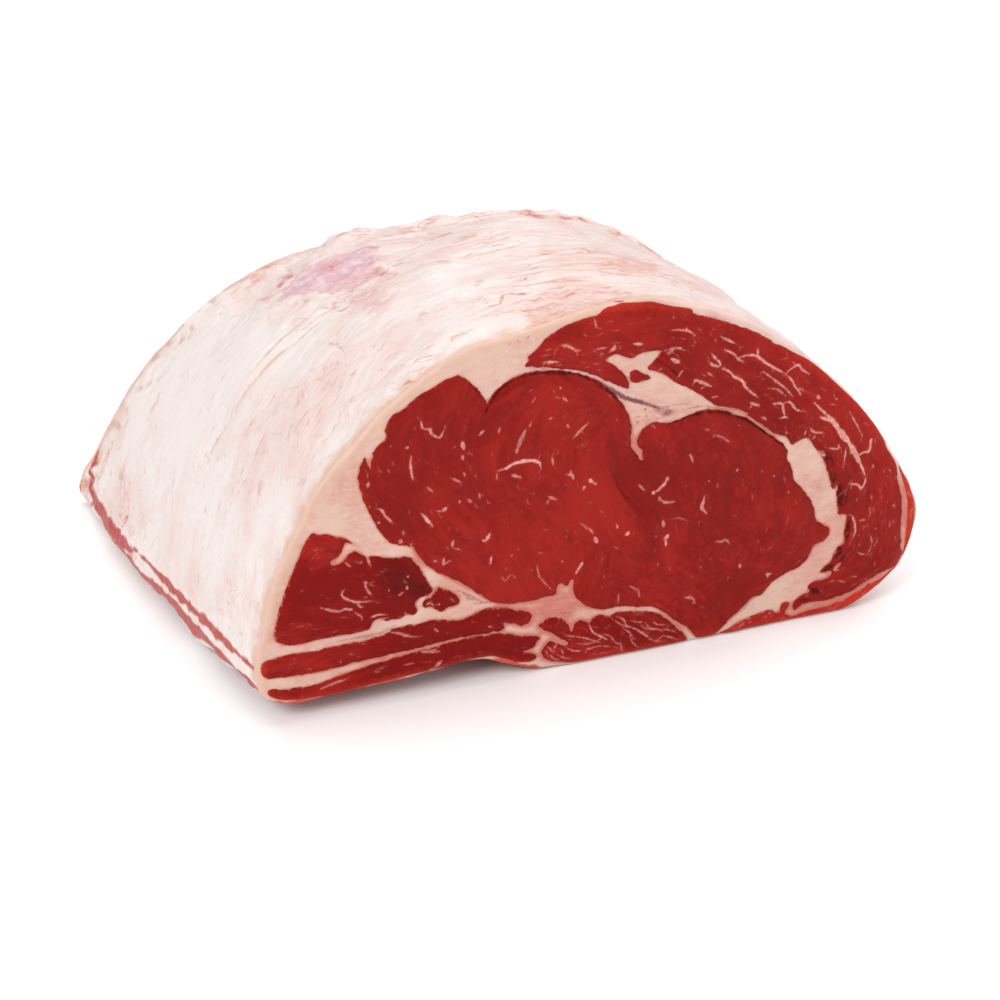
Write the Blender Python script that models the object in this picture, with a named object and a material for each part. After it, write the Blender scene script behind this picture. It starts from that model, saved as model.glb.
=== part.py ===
"""Boneless beef rib roast, raw, lying on its rib side: one solid.

Frame: metres, +Z up, origin under the middle of the roast on the surface it rests on.
-Y is the near cut face, +Y the far cut face, -X the thin lip side, +X the back of the loin.
Outlines below are in millimetres: x across the cut face, h above the resting surface.
"""

import math

import bmesh
import bpy
from mathutils import Matrix, Vector

MM = 0.001

# Driving dimensions, millimetres
LIP_LENGTH = 204.0          # from cut to cut along the lip, the longer side
LIP_EDGE_X = -138.0         # where LIP_LENGTH is measured
CUT_SKEW = 0.30             # the far cut leans in plan: length lost per millimetre of width
CROWN_FROM, CROWN_TO = 40.0, 110.0    # between these heights the skin keeps its height for longer
CROWN_HOLD = 1.3            # how much longer: added to the power that the height follows
RIM_ROUND = 2.6             # rounding between skin and cut face
MUSCLE_RISE = 1.1           # the cut muscles stand this proud of the fat round them
MUSCLE_ROOT = 6.0           # how deep a muscle pad is rooted in the body
FAR_MUSCLE_SCALE = 0.95     # the muscles are a little smaller at the far cut
RIB_COUNT = 4.6             # beds of the lifted ribs, counted from the near cut along the lip
RIB_BED_LOW = 0.05          # share of a bed's depth left under the meat between two ribs
LUMP = 1.1                  # slow swells of the fat cap
SCAR_CENTRE = (-52.0, 52.0)  # trimmed hollow in the fat cap: x, y
SCAR_REACH = (30.0, 22.0)
SCAR_DEPTH = 2.2

RING_POINTS = 76            # points round the roast
RING_COUNT = 27             # sections between the two rims
PAD_STEP = 5.5              # spacing of points along a muscle's edge

NEAR_Y = (MUSCLE_RISE - LIP_LENGTH) / 2    # the near cut, so that the whole is centred on Y

# The near cut's outline, from the lip's underside over the crown and back along the base
NEAR_OUTLINE = [
    (-112, 8), (-119, 13), (-121, 24), (-119, 36), (-115, 50), (-109, 65), (-103, 78), (-95, 91),
    (-84, 102), (-74, 112), (-61, 121), (-45, 129), (-28, 133), (-10, 136), (8, 139), (25, 139),
    (41, 135), (58, 128), (74, 119), (89, 107.5), (103, 95), (115, 82), (125, 68), (134, 53),
    (139, 41), (139.5, 30), (136, 18), (129, 10), (120, 4), (111, 0.3), (100, 0), (75, 0),
    (45, 0), (10, 0), (-10, 0.5), (-20, 2.5), (-30, 7), (-40, 10), (-55, 9), (-75, 8), (-95, 7),
]
# The far cut's outline, point for point where those of the near cut have moved to
FAR_OUTLINE = [
    (-134, 1.5), (-139.5, 5), (-138.5, 13), (-132, 23), (-124, 37), (-114.5, 52), (-104, 66), (-93, 78.5),
    (-82, 89), (-71, 96.5), (-58, 103), (-44, 108.5), (-29, 113), (-11, 117), (8, 120), (27, 122.5),
    (44, 122), (59, 119), (74, 113), (89, 105), (103, 94), (115, 81.5), (125, 67.5), (133, 53),
    (138, 41), (138.5, 30), (135, 18), (128, 10), (119, 4), (111, 0.3), (100, 0), (75, 0),
    (45, 0), (10, 0), (-10, 0.5), (-22, 2.5), (-34, 7), (-46, 10), (-62, 9), (-86, 7), (-114, 4),
]

# The muscles as the knife shows them, each kept inside the rim
EYE = [
    (-36, 110.5), (-40, 117), (-46, 121), (-54, 118.5), (-63, 114), (-70, 109), (-73, 104), (-80, 97),
    (-82, 88), (-78, 74), (-71, 63), (-64, 60), (-56, 50), (-44, 41), (-32, 32), (-22, 30),
    (-11, 30.5), (-7.5, 35.5), (-3, 35.5), (-1, 29), (6, 22), (18, 20.5), (33, 15.5), (44, 6),
    (49, 2.5), (55, 2.5), (65, 9), (76, 15), (88, 21.5), (95, 29), (102.5, 35), (97, 41),
    (91.5, 53), (85, 61), (82, 72), (70, 84.5), (58, 91.5), (46, 94), (34, 91.5), (26, 92),
    (20.5, 88), (17, 99), (8, 110), (-4, 116.5), (-20, 118), (-30, 115),
]
CAP = [
    (-21, 122), (-15, 129), (-4, 134), (10, 136.3), (26, 136.3), (41, 132), (58, 125), (74, 115.5),
    (88, 105), (101, 93), (112, 80.5), (121, 68), (129, 53), (134, 40), (134.5, 29), (131, 18),
    (122, 9.5), (108, 5), (92, 4), (91, 10), (102, 17), (108, 30), (108.5, 40), (104.5, 49),
    (101, 57), (95, 69), (88, 75.5), (82, 76.5), (70, 86), (58, 92.5), (50, 97), (37, 105),
    (25, 113), (29, 118.5), (14, 118.5), (16, 112), (18, 106), (6, 112.8), (-4, 118.5),
]
LIP_MUSCLE = [
    (-99, 71.5), (-88, 68), (-80, 61), (-67, 57), (-59, 48.5), (-56, 41), (-63, 38), (-68, 33),
    (-84, 31), (-100, 30.8), (-112, 34), (-114, 45), (-107, 65),
]
LIP_NUB = [(-55, 42.5), (-48, 38), (-47, 34), (-57, 33.8), (-60, 38)]
UPPER_STRIP = [
    (-116, 27), (-100, 26.8), (-80, 28), (-60, 29.5), (-40, 30.2), (-25, 28.6), (-18.5, 23.5),
    (-26, 21.8), (-45, 20.8), (-70, 20), (-90, 18.8), (-116, 20),
]
LOWER_STRIP = [
    (-115, 13.2), (-100, 14.2), (-80, 17.2), (-60, 19.3), (-40, 19.7), (-24, 17.5), (-16, 13),
    (-22, 8.5), (-31, 9.8), (-40, 12.3), (-55, 11.2), (-75, 10.4), (-95, 9.6), (-110, 10.4),
]
RIB_FINGER = [
    (-15, 19), (-10, 21), (-5, 18.2), (8, 18.6), (22, 16.8), (33, 13), (42, 4), (38, 1.8), (10, 1.8),
    (-10, 2.4), (-16, 8),
]
MUSCLES = {
    "eye": EYE,
    "cap": CAP,
    "lip_muscle": LIP_MUSCLE,
    "lip_nub": LIP_NUB,
    "upper_strip": UPPER_STRIP,
    "lower_strip": LOWER_STRIP,
    "rib_finger": RIB_FINGER,
}


def clear_scene():
    for old in list(bpy.data.objects):
        bpy.data.objects.remove(old, do_unlink=True)


def new_collection(name):
    made = bpy.data.collections.new(name)
    bpy.context.scene.collection.children.link(made)
    return made


def ease(value, low, high):
    """0 below low, 1 above high, and a smooth step between them."""
    share = min(1.0, max(0.0, (value - low) / (high - low)))
    return share * share * (3.0 - 2.0 * share)


def loop_point(points, place):
    """A point of the smooth closed curve through the points; place counts them, 2.5 lying between 2 and 3."""
    first = int(place)
    u = place - first
    before, start, end, after = (points[(first + k) % len(points)] for k in (-1, 0, 1, 2))
    return tuple(
        0.5 * (2 * b + (c - a) * u + (2 * a - 5 * b + 4 * c - d) * u * u + (3 * b - 3 * c + d - a) * u ** 3)
        for a, b, c, d in zip(before, start, end, after)
    )


def even_places(points, wanted):
    """That many places on the curve, at even distances along it."""
    fine = 12
    places = [i / fine for i in range(len(points) * fine + 1)]
    curve = [loop_point(points, place) for place in places]
    walked = [0.0]
    for start, end in zip(curve, curve[1:]):
        walked.append(walked[-1] + math.dist(start, end))
    even = []
    at = 0
    for i in range(wanted):
        distance = walked[-1] * i / wanted
        while walked[at + 1] < distance:
            at += 1
        even.append(places[at] + (distance - walked[at]) / (walked[at + 1] - walked[at]) / fine)
    return even


def smooth_loop(points, step):
    """A closed curve through the points, with a point about every step along it."""
    around = sum(math.dist(points[i], points[i - 1]) for i in range(len(points)))
    return [loop_point(points, place) for place in even_places(points, round(around / step))]


def length_at(x):
    """Distance between the two cuts at this x."""
    return LIP_LENGTH - CUT_SKEW * (x - LIP_EDGE_X)


def rib_bed(share):
    """1 where a rib lay, falling to RIB_BED_LOW under the meat between two ribs."""
    return RIB_BED_LOW + (1.0 - RIB_BED_LOW) * math.cos(math.pi * RIB_COUNT * share) ** 2


def section_point(near, far, share):
    """Where a point of the outline is at this share of the way from the near cut to the far one: x, h."""
    x = near[0] + (far[0] - near[0]) * math.sin(share * math.pi / 2)
    hold = 1.0 + CROWN_HOLD * ease(near[1], CROWN_FROM, CROWN_TO)
    h = near[1] + (far[1] - near[1]) * share ** hold
    under_lip = ease(-h, -14.0, -8.0) * ease(-x, 8.0, 24.0) * ease(x, -136.0, -118.0)
    return x, max(0.0, h * (1.0 - under_lip * (1.0 - rib_bed(share))))


def swell(x, y, h):
    """How far the fat cap stands off its plain form, along the outline's normal."""
    slow = math.sin(0.061 * x + 0.9) * math.cos(0.047 * y + 0.4) + 0.6 * math.sin(0.093 * y - 0.055 * x + 2.0)
    reach = math.hypot((x - SCAR_CENTRE[0]) / SCAR_REACH[0], (y - SCAR_CENTRE[1]) / SCAR_REACH[1])
    scar = SCAR_DEPTH * ease(-reach, -1.15, -0.6)
    return ease(h, 14.0, 40.0) * (LUMP * slow - scar)


def section(matched, share, inset):
    """One section of the body, in metres, drawn in from its outline by the inset of the rounded rims."""
    outline = [section_point(near, far, share) for near, far in matched]
    fade = ease(share, 0.0, 0.08) * ease(1.0 - share, 0.0, 0.05)
    points = []
    for i, (x, h) in enumerate(outline):
        before = outline[i - 1]
        after = outline[(i + 1) % len(outline)]
        side = math.dist(before, after)
        out_x, out_h = (before[1] - after[1]) / side, (after[0] - before[0]) / side
        y = NEAR_Y + share * length_at(x)
        push = swell(x, y, h) * fade - inset
        points.append(Vector((x + out_x * push, y, max(0.0, h + out_h * push))) * MM)
    return points


def build_body(collection, material):
    """The roast without its muscle pads: a loft of sections from cut to cut, with rounded rims."""
    places = even_places(NEAR_OUTLINE, RING_POINTS)
    matched = [(loop_point(NEAR_OUTLINE, place), loop_point(FAR_OUTLINE, place)) for place in places]
    rim = [(1.0 - math.cos(a), 1.0 - math.sin(a)) for a in (0.0, math.pi / 5, math.pi / 3, math.pi / 2)]
    mean_length = length_at(0.0)
    shares = [(RIM_ROUND * off / mean_length, RIM_ROUND * inset) for off, inset in rim]
    shares += [(i / (RING_COUNT + 1), 0.0) for i in range(1, RING_COUNT + 1)]
    shares += [(1.0 - RIM_ROUND * off / mean_length, RIM_ROUND * inset) for off, inset in reversed(rim)]

    mesh = bmesh.new()
    rings = [
        [mesh.verts.new(point) for point in section(matched, share, inset)]
        for share, inset in shares
    ]
    for near, far in zip(rings, rings[1:]):
        for i in range(len(near)):
            j = (i + 1) % len(near)
            mesh.faces.new((near[i], near[j], far[j], far[i]))
    mesh.faces.new(list(reversed(rings[0])))
    mesh.faces.new(rings[-1])
    bmesh.ops.recalc_face_normals(mesh, faces=mesh.faces)
    data = bpy.data.meshes.new("rib_roast")
    mesh.to_mesh(data)
    mesh.free()
    data.shade_smooth()
    data.set_sharp_from_angle(angle=math.radians(40))
    data.materials.append(material)
    body = bpy.data.objects.new("rib_roast", data)
    collection.objects.link(body)
    return body


def near_cut_frame():
    """Carries a flat outline (x, h, out of the face) onto the near cut."""
    axes = Matrix(((1, 0, 0), (0, 0, -1), (0, 1, 0))).to_4x4()
    return Matrix.Translation((0.0, NEAR_Y * MM, 0.0)) @ axes


def far_cut_frame():
    """The same for the far cut, whose outline is drawn as seen from behind: -x runs to the right."""
    turn = Matrix.Rotation(-math.atan(CUT_SKEW), 4, "Z")
    axes = Matrix(((-1, 0, 0), (0, 0, 1), (0, 1, 0))).to_4x4()
    middle = NEAR_Y + length_at(0.0)
    return Matrix.Translation((0.0, middle * MM, 0.0)) @ turn @ axes


def crown_at(outline, x):
    """Height of the outline's upper side at this x."""
    upper = outline[2:24]
    for (ax, ah), (bx, bh) in zip(upper, upper[1:]):
        if x <= bx:
            return ah + (bh - ah) * max(0.0, (x - ax) / (bx - ax))
    return upper[-1][1]


def far_muscle(points):
    """A muscle's outline where it reaches the far cut, in that cut's own plane."""
    slant = math.hypot(1.0, CUT_SKEW)
    widening = min(x for x, _ in FAR_OUTLINE) / min(x for x, _ in NEAR_OUTLINE)
    mid_x = sum(x for x, _ in points) / len(points)
    mid_h = sum(h for _, h in points) / len(points)
    drawn = []
    for x, h in points:
        x = mid_x + (x - mid_x) * FAR_MUSCLE_SCALE
        h = mid_h + (h - mid_h) * FAR_MUSCLE_SCALE
        far_x = x * widening if x < 0 else x
        far_h = h * crown_at(FAR_OUTLINE, far_x) / crown_at(NEAR_OUTLINE, x)
        drawn.append((-far_x * slant, far_h))
    return drawn


def muscle_pad(name, points, frame, collection):
    """A cut muscle: its outline extruded from inside the body to just proud of the cut face."""
    curve = bpy.data.curves.new(name, "CURVE")
    curve.dimensions = "2D"
    curve.fill_mode = "BOTH"
    curve.extrude = (MUSCLE_RISE + MUSCLE_ROOT) / 2 * MM
    loop = smooth_loop(points, PAD_STEP)
    spline = curve.splines.new("POLY")
    spline.points.add(len(loop) - 1)
    for point, (x, h) in zip(spline.points, loop):
        point.co = (x * MM, h * MM, 0.0, 1.0)
    spline.use_cyclic_u = True
    drawn = bpy.data.objects.new(name + "_curve", curve)
    collection.objects.link(drawn)
    drawn.matrix_world = frame @ Matrix.Translation((0.0, 0.0, (MUSCLE_RISE - MUSCLE_ROOT) / 2 * MM))
    bpy.context.view_layer.update()
    graph = bpy.context.evaluated_depsgraph_get()
    data = bpy.data.meshes.new_from_object(drawn.evaluated_get(graph))
    welded = bmesh.new()
    welded.from_mesh(data)
    bmesh.ops.remove_doubles(welded, verts=welded.verts, dist=1e-6)
    bmesh.ops.recalc_face_normals(welded, faces=welded.faces)
    welded.to_mesh(data)
    welded.free()
    pad = bpy.data.objects.new(name, data)
    collection.objects.link(pad)
    pad.matrix_world = drawn.matrix_world
    bpy.data.objects.remove(drawn, do_unlink=True)
    pad.hide_render = True
    pad.display_type = "WIRE"
    return pad


def join_pad(body, pad):
    union = body.modifiers.new(pad.name, "BOOLEAN")
    union.operation = "UNION"
    union.solver = "EXACT"
    union.object = pad


def raw_beef():
    """Red lean with pale fat: one finish for the one piece."""
    material = bpy.data.materials.new("raw_beef")
    material.use_nodes = True
    shader = material.node_tree.nodes["Principled BSDF"]
    shader.inputs["Base Color"].default_value = (0.62, 0.32, 0.27, 1.0)
    shader.inputs["Roughness"].default_value = 0.38
    shader.inputs["Metallic"].default_value = 0.0
    return material


def main():
    clear_scene()
    roast = new_collection("beef_rib_roast")
    helpers = new_collection("muscle_pads")
    body = build_body(roast, raw_beef())
    for name, points in MUSCLES.items():
        join_pad(body, muscle_pad("near_" + name, points, near_cut_frame(), helpers))
        join_pad(body, muscle_pad("far_" + name, far_muscle(points), far_cut_frame(), helpers))


main()
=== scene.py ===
"""Looks of a raw, boneless beef rib roast: cut muscles, seam fat, marbling, fat cap and rib side.

Lengths here are millimetres: x across the cut, y along the muscle from the near cut, h above the
resting surface. Meshes are made in metres, at rest, in the frame of the CAD part.
"""

import math

import bpy
import numpy as np
from bpy.props import FloatProperty, FloatVectorProperty, PointerProperty
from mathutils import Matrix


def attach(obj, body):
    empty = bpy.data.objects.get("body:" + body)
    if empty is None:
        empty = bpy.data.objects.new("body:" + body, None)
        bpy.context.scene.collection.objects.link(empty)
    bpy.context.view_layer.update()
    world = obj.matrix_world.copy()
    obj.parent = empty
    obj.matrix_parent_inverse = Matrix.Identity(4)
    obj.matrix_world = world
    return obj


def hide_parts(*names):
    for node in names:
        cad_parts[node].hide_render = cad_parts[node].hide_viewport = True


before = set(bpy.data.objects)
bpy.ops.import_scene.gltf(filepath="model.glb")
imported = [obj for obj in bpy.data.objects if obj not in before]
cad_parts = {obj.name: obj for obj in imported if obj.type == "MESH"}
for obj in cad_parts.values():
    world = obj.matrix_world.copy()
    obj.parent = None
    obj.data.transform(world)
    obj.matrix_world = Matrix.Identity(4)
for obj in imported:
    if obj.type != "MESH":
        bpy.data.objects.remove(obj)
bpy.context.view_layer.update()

bl_info = {
    "name": "Raw Beef Rib Roast",
    "version": (1, 0, 0),
    "blender": (4, 5, 0),
    "location": "View3D > Sidebar > Rib Roast",
    "description": "Builds the muscles, seam fat, fat cap and rib side of a raw boneless rib roast",
    "category": "Add Mesh",
}

MM = 0.001

# ---------------------------------------- form of the roast, as in the part

LIP_LENGTH = 204.0
LIP_EDGE_X = -138.0
CUT_SKEW = 0.30
CROWN_FROM, CROWN_TO, CROWN_HOLD = 40.0, 110.0, 1.3
MUSCLE_RISE = 1.1
FAR_MUSCLE_SCALE = 0.95
RIB_COUNT = 4.6
RIB_BED_LOW = 0.05
OPEN_BED = (0.13, 0.22)   # shares of the length over which the bed behind the near cut closes
LUMP = 1.1
SCAR_CENTRE = (-52.0, 52.0)
SCAR_REACH = (30.0, 22.0)
SCAR_DEPTH = 2.2
NEAR_Y = (MUSCLE_RISE - LIP_LENGTH) / 2
FAR_MIDDLE = (12.0, 56.0)      # the far cut's muscles shrink towards this place
FAR_LIP_WIDER = 139.5 / 121.0  # and spread again towards the longer lip
CROWN_PART = slice(2, 24)      # the outlines' points over the crown, from left to right

NEAR_OUTLINE = [
    (-112, 8), (-119, 13), (-121, 24), (-119, 36), (-115, 50), (-109, 65), (-103, 78), (-95, 91), (-84, 102),
    (-74, 112), (-61, 121), (-45, 129), (-28, 133), (-10, 136), (8, 139), (25, 139), (41, 135), (58, 128), (74, 119),
    (89, 107.5), (103, 95), (115, 82), (125, 68), (134, 53), (139, 41), (139.5, 30), (136, 18), (129, 10), (120, 4),
    (111, 0.3), (100, 0), (75, 0), (45, 0), (10, 0), (-10, 0.5), (-20, 2.5), (-30, 7), (-40, 10), (-55, 9), (-75, 8),
    (-95, 7),
]
FAR_OUTLINE = [
    (-133, 1.5), (-138.4, 5), (-136.6, 13), (-131, 23), (-124, 37), (-114.5, 52), (-104, 66), (-93, 78.5), (-82, 89),
    (-71, 96.5), (-58, 103), (-44, 108.5), (-29, 113), (-11, 117), (8, 120), (27, 122.5), (44, 122), (59, 119),
    (74, 113), (89, 105), (103, 94), (115, 81.5), (125, 67.5), (133, 53), (138, 41), (138.5, 30), (135, 18),
    (128, 10), (119, 4), (111, 0.3), (100, 0), (75, 0), (45, 0), (10, 0), (-10, 0.5), (-22, 2.5), (-34, 7),
    (-46, 10), (-62, 9), (-86, 7), (-114, 4),
]

# ---------------------------------------- muscles of the near cut

EYE = [
    (-34.9, 110.9), (-35.7, 109.6), (-36.3, 111.2), (-37.9, 114.1), (-40.4, 117.3), (-45.5, 121.5), (-50, 121),
    (-55, 119), (-62, 115.5), (-66, 112.7), (-70, 110.5), (-72.3, 106.5), (-72, 103), (-76, 100.3), (-77.6, 96.5),
    (-77.6, 92), (-77.2, 90), (-78.2, 92.5), (-79.5, 97.3), (-81.3, 95.6), (-82.6, 90), (-81.5, 84), (-80, 79),
    (-77.5, 73), (-74.5, 67), (-70.5, 62.7), (-64, 60.5), (-60, 54), (-55, 49), (-50, 45.5), (-45, 42), (-40, 38),
    (-36, 34), (-32, 32), (-28, 30.7), (-20, 30.2), (-10, 30.7), (-8.8, 32.5), (-7.7, 35), (-5, 33.6), (-2.7, 35.3),
    (-2.4, 30), (0.6, 25.7), (5, 22.5), (10, 21), (17, 20.6), (23, 19.3), (30, 17.7), (33, 15.7), (38, 10.7),
    (43, 7.5), (46, 3.7), (49, 0.4), (55, 0.3), (57, 1.7), (60, 4.7), (66, 9.2), (71, 13.2), (75, 14.2), (78, 17.7),
    (84, 20.7), (90, 22.7), (94, 26.2), (96, 30.2), (100, 31.7), (102.2, 34.5), (101.8, 37.2), (98.5, 39.3),
    (96.2, 41), (95, 46), (92, 52), (88, 57), (85.5, 60), (84.5, 65), (82, 69), (82.3, 72), (80, 75.3), (76, 78.6),
    (70, 83.8), (64, 88.3), (60, 90.2), (54, 92.8), (46, 93.8), (40, 92.3), (33, 91.3), (27, 92.3), (23.2, 90.4),
    (21.4, 87.4), (21.4, 84.6), (23.4, 81.4), (23.9, 78.6), (22.4, 78.7), (21.2, 82), (19.2, 85), (19.3, 90.5),
    (18.3, 95.6), (16, 100), (12.9, 104.9), (7.7, 110), (3.7, 112.8), (-2, 115.7), (-10, 117.8), (-18, 118.7),
    (-25.5, 117.9), (-30.2, 115.5), (-33.3, 113.3),
]
CAP = [
    (-21.7, 121.4), (-20.2, 123), (-20.9, 124.6), (-19, 126), (-14, 130), (-8, 133.5), (0, 135.5), (5, 136),
    (8, 137.6), (12, 138), (24, 138), (27, 136.7), (33, 134.6), (40, 132.6), (42, 131), (50, 128), (60, 123.6),
    (66, 120.4), (70, 118), (73, 116), (76, 114), (80, 111.3), (84, 108.7), (88, 106.6), (92, 103.8), (95, 101.2),
    (100, 95.8), (105, 90.6), (110, 85.9), (115, 80.2), (119, 75.5), (121.2, 71.6), (122.6, 68.6), (123.4, 66),
    (126, 62), (128, 58.8), (129.4, 55), (130.8, 49.8), (132.8, 43.8), (133.4, 37), (133.4, 29.5), (134, 24),
    (134, 19), (132.3, 16.4), (128.5, 13.9), (124, 12.1), (118.5, 9.8), (112.5, 7.2), (105.5, 6), (100, 5.9),
    (95, 6.4), (91, 5.2), (88.7, 4.4), (88.6, 7.6), (92, 10), (95.5, 11), (94.8, 13.6), (97.5, 15), (102, 15.7),
    (104.3, 17.8), (99, 18.4), (101, 20.7), (103.8, 22.8), (105.8, 27.6), (108.6, 29.3), (108.6, 33), (108.8, 37),
    (109.2, 41), (106, 41.7), (105, 45), (104.2, 50), (104.2, 54.6), (102.6, 52.7), (101, 56), (99.2, 61),
    (97.2, 66), (94.2, 70.5), (91, 75), (88, 75.7), (84, 74.2), (81.2, 77.6), (78, 78.9), (75, 80.7), (70, 84.7),
    (65, 89), (63.4, 90.6), (56, 93.6), (52, 94.9), (48, 98), (44, 101.2), (40, 103.7), (35, 107), (30, 110.6),
    (24.6, 113.4), (27, 116), (30, 119.2), (22, 119.4), (18, 118), (12, 120.4), (8.6, 118.7), (12.4, 115.8),
    (15.6, 112.8), (17.6, 108.8), (17.2, 106.6), (12.4, 109.2), (6.4, 112.5), (0, 115.8), (-8, 118.3), (-15, 119.7),
]
CAP_ISLAND = [(18, 112.7), (20, 113.4), (23, 111.5), (26.2, 109.3), (22, 108.6), (19, 109), (18.2, 110.6)]
TAIL = [
    (-99.2, 72.6), (-97.5, 71.6), (-94, 71.1), (-92, 70), (-88, 68.3), (-85, 66.3), (-81.5, 63.8), (-85, 65.2),
    (-87.5, 66.5), (-88.7, 64.8), (-89.3, 63), (-90.5, 61.3), (-93, 60.3), (-92, 58.8), (-90, 59.2), (-88.3, 60.2),
    (-87, 61.8), (-84.7, 62.6), (-82, 61.5), (-80.6, 59.8), (-79.6, 57), (-79, 59.8), (-76, 59), (-72, 58),
    (-68, 57.2), (-66, 57), (-64, 56), (-62, 53.5), (-60, 50), (-58, 46), (-56.5, 43), (-56, 42), (-57, 40.7),
    (-60, 40.3), (-62, 39.5), (-62.5, 37), (-61.7, 35), (-64, 33.4), (-66, 34.2), (-68, 33.3), (-73, 33.3),
    (-76, 34.6), (-78.5, 34.2), (-79.5, 32), (-82, 30.9), (-88, 30.8), (-94, 31.1), (-99, 30.9), (-106, 30.6),
    (-111.5, 31.6), (-114.4, 35), (-113.6, 40), (-111, 48), (-107.6, 57), (-104.6, 64), (-101.8, 69.5),
]
TAIL_SMALL = [
    (-54.5, 43), (-52, 41.5), (-49.5, 40.2), (-47.5, 38), (-46.5, 35.8), (-47, 34.2), (-51, 33.8), (-53, 32.8),
    (-55, 34.1), (-57, 35.5), (-59.5, 35.2), (-60.5, 37), (-59, 38.8), (-57, 39.6), (-55.5, 41.3),
]
STRIP_UPPER = [
    (-118.6, 26.4), (-114, 27.2), (-108, 27.5), (-100, 27), (-96, 27.3), (-90, 27.2), (-84, 27.2), (-78, 27.6),
    (-73, 28.4), (-71, 29.6), (-67, 29.8), (-62, 30), (-57, 30.4), (-53, 29.3), (-50, 28.8), (-46, 28.3),
    (-42.5, 28.8), (-40, 30), (-37, 30.6), (-33, 30.4), (-28, 29), (-24, 27.5), (-21, 26.5), (-19, 25.5),
    (-18.2, 24), (-18.6, 22.2), (-20, 20.8), (-22.5, 20.8), (-25, 22), (-28, 23), (-29.5, 22.7), (-28.8, 21.4),
    (-31, 20.6), (-36, 20.6), (-44, 20.8), (-52, 20.7), (-60, 20.1), (-68, 19.6), (-72, 20), (-75, 19.2),
    (-80, 19.2), (-86, 18.9), (-92, 18.5), (-98, 18.1), (-106, 18.3), (-112, 18.9), (-117.4, 19.6), (-119.4, 21.6),
    (-119.6, 24.4),
]
STRIP_LOWER = [
    (-117.2, 14.9), (-112, 14.1), (-106, 13.7), (-100, 13.8), (-94, 15), (-90, 15.8), (-84, 16.8), (-80, 17.2),
    (-74, 17.8), (-68, 18.5), (-62, 19), (-56, 19.3), (-50, 19.8), (-44, 20), (-36, 19.9), (-31, 19.5), (-28, 18.9),
    (-25, 17.6), (-22, 16.6), (-19, 16), (-16.5, 15.3), (-15.2, 14.2), (-16, 13), (-17, 11.5), (-19, 10.3),
    (-22, 10), (-20, 9.4), (-17.5, 8.5), (-16.5, 7), (-17.5, 5.8), (-20, 5.3), (-24, 6), (-28, 8), (-31, 9.3),
    (-33.5, 10.6), (-36, 10.9), (-40, 10.9), (-48, 10.4), (-55, 9.9), (-62, 9.6), (-70, 9.2), (-76, 9), (-84, 8.5),
    (-92, 8), (-100, 8.1), (-107, 8.8), (-111.5, 9.6), (-115, 11), (-117.4, 12.9),
]
RIB_MAIN = [
    (-16.1, 19.3), (-14, 21.2), (-11, 22), (-8.5, 21.6), (-6, 19.8), (-4.2, 17.5), (-3.3, 14.7), (-2.4, 14.7),
    (-2, 17.4), (0, 18.5), (2.5, 18), (4, 16.9), (5, 17.7), (6.2, 18.7), (9, 18.9), (12, 17.7), (13.5, 18.6),
    (16, 18.7), (20, 18), (24, 17.1), (28, 16), (31, 15.2), (33, 14), (36, 11.5), (38.5, 8.5), (41, 6), (43, 3.6),
    (44.4, 1.4), (44, 0.4), (30, 0.4), (15, 0.5), (2, 0.8), (-4, 1.5), (-8, 2.7), (-11.5, 3.8), (-13.6, 5.2),
    (-14.6, 7.4), (-14.4, 9.6), (-13.2, 11.6), (-11.6, 12.5), (-9.6, 11.6), (-7, 10), (-4.9, 9), (-4.2, 9.5),
    (-5, 10.5), (-7.6, 12.6), (-10.6, 14.9), (-13.6, 16.9),
]
UNDER_BAND = [
    (58.5, 0.5), (62, 2), (65, 3.8), (70, 5.2), (75, 6.3), (79.5, 6.6), (81, 5), (83, 5.2), (83.5, 7.5), (85, 8.5),
    (87, 7.8), (86.2, 6), (85.4, 4.2), (87, 2.5), (89, 1.8), (92, 2.3), (96, 3.2), (102, 3.2), (106, 3.8), (112, 5),
    (118, 7.5), (122, 9.5), (126, 10.3), (130, 12.7), (134, 16.5), (135, 17), (128.5, 10.6), (120, 4.8), (111, 1),
    (100, 0.5), (75, 0.4),
]
BACK_RIM = [
    (130.6, 57.5), (132.6, 55), (135, 51), (137, 46), (138.4, 41), (138.9, 35), (138.7, 30), (137.4, 24),
    (135.9, 19.5), (135.2, 18), (135.8, 22), (135.9, 27), (135.6, 33), (135.5, 39), (134.9, 44), (133.6, 49),
    (132, 53),
]

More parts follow.
